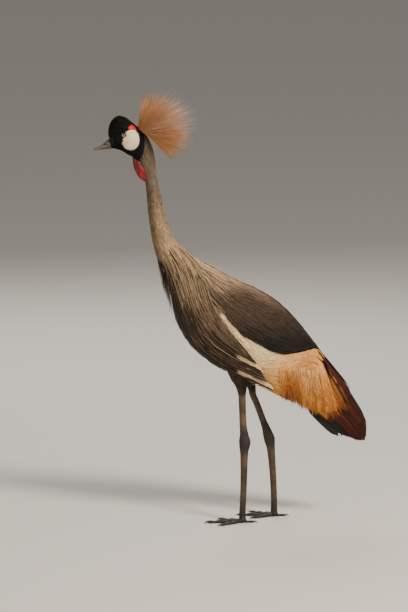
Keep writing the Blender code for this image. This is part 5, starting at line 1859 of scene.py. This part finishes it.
@dataclass
class WingCoat:
    """One folded wing's feathers: dark shield, white coverts and the hanging straw plumes.

    The plumes' fan starts and ends on two lines of (along, off).
    """

    side: int
    name: str
    covert_count: int = 1300
    plume_count: int = 4600
    clumps: int = 70
    fan_start: tuple = ((350, -8), (386, 20), (414, 50), (436, 50), (462, 40))
    fan_end: tuple = ((426, -93), (478, -83), (522, -71), (548, -54), (556, -25))

    def border(self, rows: tuple) -> Callable[[Array], Array]:
        """Reads the turn of a border at places along the axis from its rows of (along, off)."""
        table = np.array(rows, float).T
        return lambda along: WING.turn_at(along, np.interp(along, *table))

    def region(self, first: Callable, last: Callable) -> Surface:
        """Reads the wing by (along, share between two borders, lift).

        Args:
            first: Gives the upper border's turn at places along the axis.
            last: Gives the lower one's.

        Returns:
            The surface.
        """

        def surface(along: Array, share: Array, lift: Array) -> Array:
            """Points on the wing."""
            start, stop = first(along), last(along)
            return WING.point(along, self.side * (start + (stop - start) * share), lift)

        return surface

    def shield(self) -> None:
        """Dark feathers of shoulder and back."""
        rng = np.random.default_rng(70 + self.side)
        low = self.border(WING.shield_low)
        coat = Coat(f"coat_shield_{self.name}")
        surface = self.region(lambda a: np.zeros_like(a), low)
        along_rows = np.arange(70, 408, 8.0)
        starts, shares = [], []
        for number, along in enumerate(along_rows):
            arc = float(low(np.array(along)) * 88)
            count = max(int(arc / 6.0), 3)
            starts.append(along + rng.uniform(-4, 4, count))
            shares.append((np.arange(count) + 0.5 * (number % 2) + rng.uniform(-0.3, 0.3, count)) / count)
        along, share = np.concatenate(starts), np.clip(np.concatenate(shares), 0.0, 0.97)
        n = len(along)
        turn = low(along) * share
        base = wing_colour(along + 25, np.minimum(turn, low(along + 25) * 0.93))
        base = vary(base, rng, 0.10)
        front = blend(240, 120, along)
        length = np.where(share > 0.8, 50, 66) * rng.uniform(0.85, 1.15, n)
        end = np.minimum(along + length, 414 + 20 * (1 - share) + rng.uniform(0, 8, n))
        rim = base * (1.18 + 0.3 * front[:, None])
        rise = rng.uniform(0.8, 2.4, n) + 2.2 * blend(0.6, 0.9, share) * blend(250, 330, along)
        coat.add(
            Cut.LANCE, surface, (along, share), (end, np.clip(share + 0.05, 0, 0.99)), (-3.0, rise),
            rng.uniform(3.2, 5.2, n) - 1.0 * front, (base * 0.8, base, rim),
            wing_roots(along, turn, self.side), rng.normal(0.05, 0.08, n),
        )
        finish = PlumageFinish(f"plumage_shield_{self.name}", 0.62, 0.03, specular=0.14).make()
        finish_piece(coat.build(), finish, [f"wing_{self.name}_shield"])

    def coverts(self) -> None:
        """White and cream feathers along the shield's lower edge."""
        rng = np.random.default_rng(80 + self.side)
        high, low = self.border(WING.shield_low), self.border(WING.white_low)
        surface = self.region(lambda a: high(a) - 0.05, low)
        coat = Coat(f"coat_coverts_{self.name}")
        count = self.covert_count
        along = np.sort(150 + 235 * np.sqrt(rng.uniform(0, 1, count)))[::-1]
        share = rng.uniform(0, 1, count)
        middle, height, _ = WING.section(along)
        off = middle + height * WING.squared(np.cos(high(along) + (low(along) - high(along)) * share))
        keep = off > flank_edge(along) - 12
        along, share, off = along[keep], share[keep], off[keep]
        count = len(along)
        stray = rng.normal(0, 0.05, count)
        colours = vary(plume_colour(along, off, stray), rng, 0.06)
        length = rng.uniform(52, 86, count) * (0.55 + 0.45 * blend(150, 260, along))
        tips = vary(plume_colour(along + length, off, stray), rng, 0.04)
        ends = (along + length, np.clip(share + rng.normal(0.03, 0.03, count), 0, 1))
        lifts = (-4.5, rng.uniform(0.2, 1.6, count) * blend(-0.05, 0.25, share))
        coat.add(
            Cut.LANCE, surface, (along, share), ends, lifts, rng.uniform(2.0, 3.8, count),
            (colours * 0.85, tips, (colours + tips) / 2), wing_roots(along, high(along) + share, self.side),
            rng.normal(0, 0.12, count),
        )
        finish = PlumageFinish(f"plumage_coverts_{self.name}", 0.6).make()
        finish_piece(coat.build(), finish, [f"wing_{self.name}_coverts"])

    def plumes(self) -> None:
        """Long loose straw-coloured plumes that hang over the wing's rear."""
        rng = np.random.default_rng(90 + self.side)
        surface = WING.fan(self.side, self.fan_start, self.fan_end)
        coat = Coat(f"coat_plumes_{self.name}")
        count = self.plume_count
        across = rng.uniform(0, 1, count)
        down = np.sort(rng.uniform(0.0, 0.62, count))[::-1]
        end = np.minimum(down + rng.uniform(0.34, 0.62, count), 0.97 + rng.exponential(0.045, count))
        clump = np.round(across * self.clumps + rng.normal(0, 0.3, count)) / self.clumps
        top, low = on_line(self.fan_start, across), on_line(self.fan_end, across)
        tones = []
        for place in (down, end):
            stray = 0.14 * wander(across[:, None], 0.16, 5)
            stray = stray + 0.12 * np.exp(-(((across - 0.22) / 0.1) ** 2))
            stray = stray * blend(0.0, 0.4, place) + rng.normal(0, 0.07, count)
            along, off = (a + (b - a) * place for a, b in zip(top, low))
            tones.append(plume_colour(along, off, stray))
        dark = rng.uniform(0, 1, count) < 0.05 + 0.2 * blend(0.45, 1.0, (down + end) / 2)
        root, tip = (vary(np.where(dark[:, None], tone * 0.28, tone), rng, 0.08) for tone in tones)
        coat.add(
            Cut.HAIR, surface, (across, down), (np.clip(0.5 * across + 0.5 * clump, 0, 1.02), end),
            (-5.0, rng.uniform(0.5, 5.0, count)), rng.uniform(0.6, 1.5, count), (root, tip, (root + tip) / 2),
            wing_roots(400 + across * 80, 1 + down, self.side), rng.normal(0, 0.3, count),
            waver=rng.normal(0, 0.012, count),
        )
        finish = PlumageFinish(f"plumage_straw_{self.name}", 0.55).make()
        finish_piece(coat.build(), finish, [f"wing_{self.name}_plumes"])

    def build(self) -> None:
        """Makes the three regions."""
        self.shield()
        self.coverts()
        self.plumes()


@dataclass
class Quills:
    """Flight feathers behind the plumes: chestnut secondaries, black primaries and the tail.

    Each fan runs from one line of (along, off) to another.
    """

    secondary_start: tuple = ((500, 34), (505, 8), (510, -22), (512, -48))
    secondary_end: tuple = ((648, -14), (668, -34), (674, -54), (656, -70))
    primary_start: tuple = ((500, -56), (500, -78))
    primary_end: tuple = ((654, -74), (600, -90))
    ridge: tuple = (((426, 56), (462, 44), (492, 26)), ((560, 26), (575, 10), (580, -10)))
    strands: tuple = (((480, 38), (515, -4), (528, -36)), ((596, -4), (590, -34), (578, -62)))
    tail_along: tuple = (505, 626)
    tail_off: tuple = (-32, -46)

    def fan(
        self, coat: Coat, side: int, ends: tuple, count: int, seed: int, width: tuple, lifts: tuple,
        colours: Callable[[Array, Draws], tuple], ragged: float, cut: Cut = Cut.QUILL,
    ) -> None:
        """Adds a fan of flight feathers on one wing.

        Args:
            coat: The coat that takes them.
            side: 1 for the left.
            ends: Lines of roots and of tips, as (along, off).
            count: How many.
            seed: Seed of the random draws.
            width: Least and greatest half width.
            lifts: Height of the first and of the last feather.
            colours: Gives root, tip and edge colours for shares across the fan.
            ragged: How unevenly they end.
            cut: The feathers' cut.
        """
        rng = np.random.default_rng(seed)
        surface = WING.fan(side, *ends)
        across = np.linspace(0, 1, count) + rng.normal(0, 0.3 / count, count)
        across = np.clip(across, 0, 1)
        lift = lifts[0] + (lifts[1] - lifts[0]) * across + rng.uniform(-0.5, 0.5, count)
        tip = 1 - rng.exponential(ragged, count)
        start = (across, rng.uniform(-0.02, 0.1, count))
        coat.add(
            cut, surface, start, (across, np.maximum(tip, 0.7)), (lift - 1, lift),
            rng.uniform(*width, count), colours(across, rng), wing_roots(520 + across * 60, 1 + across, side),
            rng.normal(0.06, 0.05, count),
        )

    def chestnut(self, across: Array, rng: Draws) -> tuple:
        """Colours the secondaries' roots, tips and edges by shares across the fan."""
        colours = mix((0.12, 0.021, 0.007), (0.010, 0.005, 0.004), rng.uniform(0, 1, len(across)) ** 0.5)
        colours = vary(colours, rng, 0.2)
        return colours, colours * 0.6, colours * 1.2

    def gold(self, across: Array, rng: Draws) -> tuple:
        """Colours the loose strands over the secondaries' front, likewise."""
        colours = vary(mix(AMBER, RUST, rng.uniform(0, 1, len(across))), rng, 0.1)
        return colours, colours * 0.7, colours

    def black(self, across: Array, rng: Draws) -> tuple:
        """Colours primaries and tail, likewise."""
        colours = vary(np.tile(QUILL_BLACK, (len(across), 1)), rng, 0.2)
        return colours, colours, colours * 1.6

    def tail(self, coat: Coat, rng: Draws) -> None:
        """Adds the tail feathers under the wing tips.

        Args:
            coat: The coat that takes them.
            rng: The random draws.
        """
        shares = Cut.QUILL.shares
        (near, far), (high, low) = self.tail_along, self.tail_off
        for side, _ in SIDES:
            for i in range(6):
                y, z = axis_point(near + (far - near) * shares, high + (low - high) * shares - 1.6 * i)
                x = side * (1.5 + 2.2 * i) * (1 + 0.5 * np.sin(np.pi / 2 * shares))
                line = np.stack([x, y, z], -1)[None]
                tilt = unit(np.array(AXIS_UP) + np.array((side * 0.05 * i, 0, 0)))
                normals = np.broadcast_to(tilt, line.shape)
                place = np.array([[0.45 + 0.02 * i, 0.5 + 0.1 * side]])
                coat.add_lines(Cut.QUILL, line, normals, 8.0, self.black(np.zeros(1), rng), place)

    def rump(self, coat: Coat, rng: Draws) -> None:
        """Adds long coverts that close the cleft between the folded wings, with the tail's arguments."""
        shares = Cut.QUILL.shares
        for i in range(6):
            along = 432 + 18 * i + 95 * shares
            middle, height, _ = WING.section(along)
            y, z = axis_point(along, middle + height - 8.5 + 0.4 * i)
            line = np.stack([np.full_like(y, 1.5 * (-1) ** i), y, z], -1)[None]
            up = np.broadcast_to(AXIS_UP, line.shape)
            place = np.array([[0.3 + 0.02 * i, 0.5]])
            coat.add_lines(Cut.QUILL, line, up, 11.0, self.chestnut(np.zeros(1), rng), place)

    def build(self) -> None:
        """Makes all flight feathers."""
        rng = np.random.default_rng(99)
        tail = Coat("tail_quills")
        self.tail(tail, rng)
        self.rump(tail, rng)
        black = PlumageFinish("plumage_black", 0.5).make()
        finish_piece(tail.build(), black, ["tail"])
        for side, name in SIDES:
            coat = Coat(f"secondaries_{name}")
            ends = (self.secondary_start, self.secondary_end)
            self.fan(coat, side, ends, 16, 100, (8, 10), (-1.5, -7.0), self.chestnut, 0.01)
            self.fan(coat, side, ends, 420, 101, (0.8, 2.2), (1.0, -4.0), self.chestnut, 0.05, Cut.LANCE)
            self.fan(coat, side, self.ridge, 110, 105, (1.2, 2.4), (2.0, 3.2), self.chestnut, 0.12, Cut.LANCE)
            self.fan(coat, side, self.strands, 40, 104, (0.35, 0.7), (3.5, 2.0), self.gold, 0.3, Cut.HAIR)
            finish = PlumageFinish(f"plumage_chestnut_{name}", 0.55, 0.03, specular=0.14).make()
            finish_piece(coat.build(), finish, [f"wing_{name}_secondaries"])
            coat = Coat(f"primaries_{name}")
            ends = (self.primary_start, self.primary_end)
            self.fan(coat, side, ends, 9, 102, (6, 8), (-10, -8), self.black, 0.03)
            self.fan(coat, side, ends, 40, 103, (1.6, 3.0), (-8, -6), self.black, 0.06, Cut.LANCE)
            finish_piece(coat.build(), black, [f"wing_{name}_primaries"])


# Legs and feet


@dataclass
class Leg:
    """One bare leg with plated shank, toes and claws.

    Rings are (x, y, z, half width, half depth). Each toe is (name, turn from straight ahead,
    length, radius, joints).
    """

    side: int
    name: str
    tibia: tuple
    tarsus: tuple
    ankle: tuple
    toe_turn: float
    toes: tuple = (
        ("inner", -34, 60, 5.6, 2), ("middle", 0, 85, 6.0, 3),
        ("outer", 33, 68, 5.4, 3), ("hind", 172, 26, 4.6, 1),
    )
    plate: float = 6.5
    plate_depth: float = 0.45
    toe_plate: float = 3.4
    toe_root: float = 6.5
    toe_seat: float = 0.82
    claw: float = 16.2
    claw_lap: float = 1.2
    pad_size: tuple = (9.6, 10.4, 8.6)
    pad_height: float = 7.2
    dark: tuple = (0.026, 0.018, 0.014)
    dusty: tuple = (0.11, 0.066, 0.036)

    def plated(self, length: float, front: float) -> Shape:
        """Makes plates down the front and back of a shank.

        Args:
            length: The shank's length.
            front: How strongly the front is plated.

        Returns:
            A swell for tube.
        """

        def swell(turn: Array, v: Array) -> Array:
            """Heights of the plates, and of fine scales between them."""
            face = np.clip(-np.sin(turn), 0, 1) ** 0.7 * front + np.clip(np.sin(turn), 0, 1) ** 2 * 0.5
            place = v * length / self.plate
            step = (place % 1.0) ** 0.6
            fine = 0.15 * np.sin(turn * 9 + v * length) * (1 - face)
            return self.plate_depth * (face * (step - 0.6) + fine)

        return swell

    def shank(self, rows: tuple, front: float) -> Solid:
        """Makes one segment of the leg from its rings, its front plated so strongly."""
        length = abs(rows[0][2] - rows[-1][2])
        return wrap(36, max(int(length / 1.1), 20), tube(rows, self.plated(length, front)))

    def toe(self, spec: tuple) -> tuple[Solid, Solid]:
        """Makes one toe with pads below and plates above, and its claw.

        Args:
            spec: The toe's measures.

        Returns:
            The toe and the claw.
        """
        _, turn_out, length, radius, joints = spec
        heading = math.radians(self.toe_turn + self.side * turn_out)
        ahead = np.array((math.sin(heading), -math.cos(heading), 0.0))
        across = np.array((ahead[1], -ahead[0], 0.0))
        ankle = np.array((*self.ankle, 0.0))

        def size(share: Array) -> Array:
            """The toe's radius, swollen between its joints."""
            return radius * (1 - 0.36 * share + 0.10 * np.cos(2 * np.pi * joints * share))

        def toe_shape(u: Array, v: Array) -> Array:
            """Points on the toe, flat where it stands and rounded off at its end."""
            share = np.clip(v * 1.03, 0, 1)
            fat = size(share) * np.sqrt(np.clip(1 - np.clip((v - 0.955) / 0.045, 0, 1) ** 2, 0.02, 1))
            turn = u * 2 * np.pi
            top = np.clip(np.sin(turn), 0, 1)
            place = share * length / self.toe_plate
            fat = fat * (1 + 0.07 * top**0.5 * ((place % 1) ** 0.6 - 0.5))
            drop = self.toe_seat * size(share) - self.toe_root
            rise = self.toe_root + drop * np.minimum(1.0, share * 2.2)
            centre = ankle + np.outer(share * length, ahead)
            z = np.maximum(rise + fat * np.sin(turn), 0.0)
            point = centre + across * (fat * np.cos(turn))[:, None]
            point[:, 2] = z
            return point

        seat = self.toe_seat * float(size(np.array(1.0)))

        def claw_shape(u: Array, v: Array) -> Array:
            """Points on the claw, which arches down to the ground."""
            turn = u * 2 * np.pi
            fat = seat * (1 - v) ** 0.75 + 0.15
            rise = seat + 1.4 * np.sin(np.pi * v) - (seat - 0.9) * v**1.6
            point = ankle + np.outer(length - self.claw_lap + v * self.claw, ahead)
            point = point + across * (0.66 * fat * np.cos(turn))[:, None]
            point[:, 2] = np.maximum(rise + fat * np.sin(turn), 0.0)
            return point

        return wrap(24, int(length * 1.1), toe_shape), wrap(20, 30, claw_shape)

    def pad(self) -> Solid:
        """Makes the foot's ball under the ankle.

        Returns:
            The ball, flat where it stands.
        """
        bm = bmesh.new()
        bm.loops.layers.uv.new(BAKE_MAP)
        bmesh.ops.create_uvsphere(bm, u_segments=32, v_segments=20, radius=1.0, calc_uvs=True)
        bmesh.ops.scale(bm, vec=self.pad_size, verts=bm.verts)
        bmesh.ops.translate(bm, vec=(*self.ankle, self.pad_height), verts=bm.verts)
        for vert in bm.verts:
            vert.co.z = max(vert.co.z, 0.0)
        return bm

    def build(self, scales: bpy.types.Material, horn: bpy.types.Material) -> None:
        """Makes the leg's pieces.

        Args:
            scales: Material of the leg's skin.
            horn: Material of the claws.
        """
        name = self.name
        toes, claws = zip(*(self.toe(spec) for spec in self.toes))
        for label, parts, replaced in (
            ("shin", [self.shank(self.tibia, 0.6)], "tibia"),
            ("shank", [self.shank(self.tarsus, 1.0)], "tarsus"),
            ("toes", [self.pad(), *toes], "foot"),
        ):
            piece = add_piece(f"{label}_{name}", parts)
            z = own_points(piece)[:, 2]
            # Painted lighter at mid-shin and mid-shank, darker at the knee and towards the foot.
            dusty = np.clip(blend(228, 262, z) + blend(190, 165, z) * blend(20, 70, z) * 0.8, 0, 1)
            paint(piece, mix(self.dark, self.dusty, dusty))
            finish_piece(piece, scales, [f"{replaced}_{name}"])
        for spec, claw in zip(self.toes, claws):
            piece = add_piece(f"nail_{name}_{spec[0]}", [claw])
            paint(piece, np.ones((len(piece.data.vertices), 3)))
            finish_piece(piece, horn, [f"claw_{name}_{spec[0]}"])


LEGS = (
    Leg(
        1, "left",
        (
            (42, -20, 334, 6.9, 9.1), (42, -20, 320, 7.1, 9.3), (42, -19, 290, 6.7, 8.8),
            (42, -17.5, 255, 6.8, 9.1), (42, -15, 232, 7.7, 10.7), (42, -13.5, 216, 9.1, 14.1),
            (42, -13, 206, 9.3, 14.7),
        ),
        (
            (42, -13, 209, 9.2, 14.5), (42, -13.5, 199, 8.9, 13.7), (42, -14.5, 184, 7.2, 10.7),
            (42, -15, 150, 6.3, 9.1), (41.5, -16, 95, 5.9, 8.3), (41, -18, 45, 6, 8),
            (41, -19, 24, 7, 8.4), (41, -19, 9, 7.7, 8.8),
        ),
        (41, -19), 6,
    ),
    Leg(
        -1, "right",
        (
            (-41.5, 6, 328, 6.9, 9.0), (-41.5, 9, 316, 7.1, 9.2), (-41.5, 20, 290, 6.7, 8.8),
            (-41.5, 33, 255, 6.8, 9.1), (-41.5, 42, 232, 7.7, 10.9), (-41.5, 48, 214, 9.1, 13.7),
            (-41.5, 50.5, 203, 9.3, 14.7),
        ),
        (
            (-41.5, 50.5, 206, 9.2, 14.5), (-41.5, 51.5, 196, 8.9, 13.5), (-41.5, 54.5, 178, 7.2, 10.7),
            (-41.5, 57.5, 145, 6.3, 9.1), (-41, 61, 95, 5.9, 8.3), (-41, 63, 45, 6, 8),
            (-41, 63, 24, 7, 8.4), (-41, 63, 9, 7.7, 8.8),
        ),
        (-41, 63), -4,
    ),
)


# Studio


@dataclass
class Studio:
    """Pale floor, soft lights and the camera at the photo's angle."""

    elevation: float = 9.0
    distance: float = 12.0
    frame_height: float = 1.5606
    target: tuple = (0.0, -117.3, 555.0)
    heart: tuple = (0.0, 0.0, 0.55)
    air: tuple = (0.92, 0.88, 0.82, 1)
    air_strength: float = 0.32

    def light(self, name: str, place: tuple, size: float, power: float, colour: tuple) -> None:
        """Adds one round light aimed at the bird.

        Args:
            name: Its name.
            place: Where it hangs, in metres.
            size: Its diameter.
            power: Its strength in watts.
            colour: Its colour.
        """
        data = bpy.data.lights.new(name, "AREA")
        data.shape, data.size, data.energy, data.color = "DISK", size, power, colour
        lamp = add_object(name, data)
        lamp.location = place
        aim = Vector(self.heart) - Vector(place)
        lamp.rotation_euler = aim.to_track_quat("-Z", "Y").to_euler()

    def build(self) -> None:
        """Makes floor, lights and camera."""
        bm = bmesh.new()
        bmesh.ops.create_grid(bm, x_segments=1, y_segments=1, size=30)
        mesh = bpy.data.meshes.new("floor")
        bm.to_mesh(mesh)
        bm.free()
        floor = add_object("floor", mesh)
        floor.data.materials.append(FloorFinish().make())
        self.light("key", (2.5, 2.3, 3.3), 1.2, 290, (1.0, 0.90, 0.76))
        self.light("fill", (3.0, -3.2, 1.6), 3.0, 45, (1.0, 0.93, 0.84))
        self.light("back", (-3.0, -0.6, 2.6), 2.5, 80, (1.0, 0.95, 0.88))
        world = bpy.data.worlds.new("studio")
        world.use_nodes = True
        glow = world.node_tree.nodes["Background"].inputs
        glow["Color"].default_value, glow["Strength"].default_value = self.air, self.air_strength
        bpy.context.scene.world = world
        data = bpy.data.cameras.new("camera")
        data.lens = data.sensor_width * self.distance / self.frame_height
        data.clip_end = 100
        camera = add_object("camera", data)
        tilt = math.radians(self.elevation)
        aim = Vector((np.array(self.target) + SHIFT) * MM)
        away = Vector((math.cos(tilt), 0, math.sin(tilt)))
        camera.location = aim + away * self.distance
        camera.rotation_euler = (-away).to_track_quat("-Z", "Y").to_euler()
        bpy.context.scene.camera = camera


def main() -> None:
    """Builds the whole bird and the studio round it."""
    logging.basicConfig(level=logging.INFO, format="%(name)s: %(message)s")
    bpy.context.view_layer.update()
    flesh = Skin()
    skin = flesh.build()
    ground = Ground.of([flesh.trunk()])
    coated = Ground.of([flesh.trunk(), *(Skin(wing_depth=-3.0).wing(side) for side, _ in SIDES)])
    finish_piece(
        skin, SkinFinish("skin_down").make(),
        ["head", "neck", "torso", "thigh_left", "thigh_right"],
    )
    Bill().build()
    Eyes().build()
    Cheeks().build(ground)
    Wattle().build()
    Velvet().build()
    Crest().build()
    NeckCoat().build()
    BreastCoat().build(coated)
    FlankCoat().build(coated)
    BellyCoat().build(flesh)
    for side, name in SIDES:
        WingCoat(side, name).build()
    Quills().build()
    scales = ScaleFinish("leg_scales").make()
    horn = HornFinish("horn_claw", (0.012, 0.011, 0.011), (0.05, 0.046, 0.042)).make()
    for leg in LEGS:
        leg.build(scales, horn)
    Studio().build()


if __name__ == "__main__":
    main()
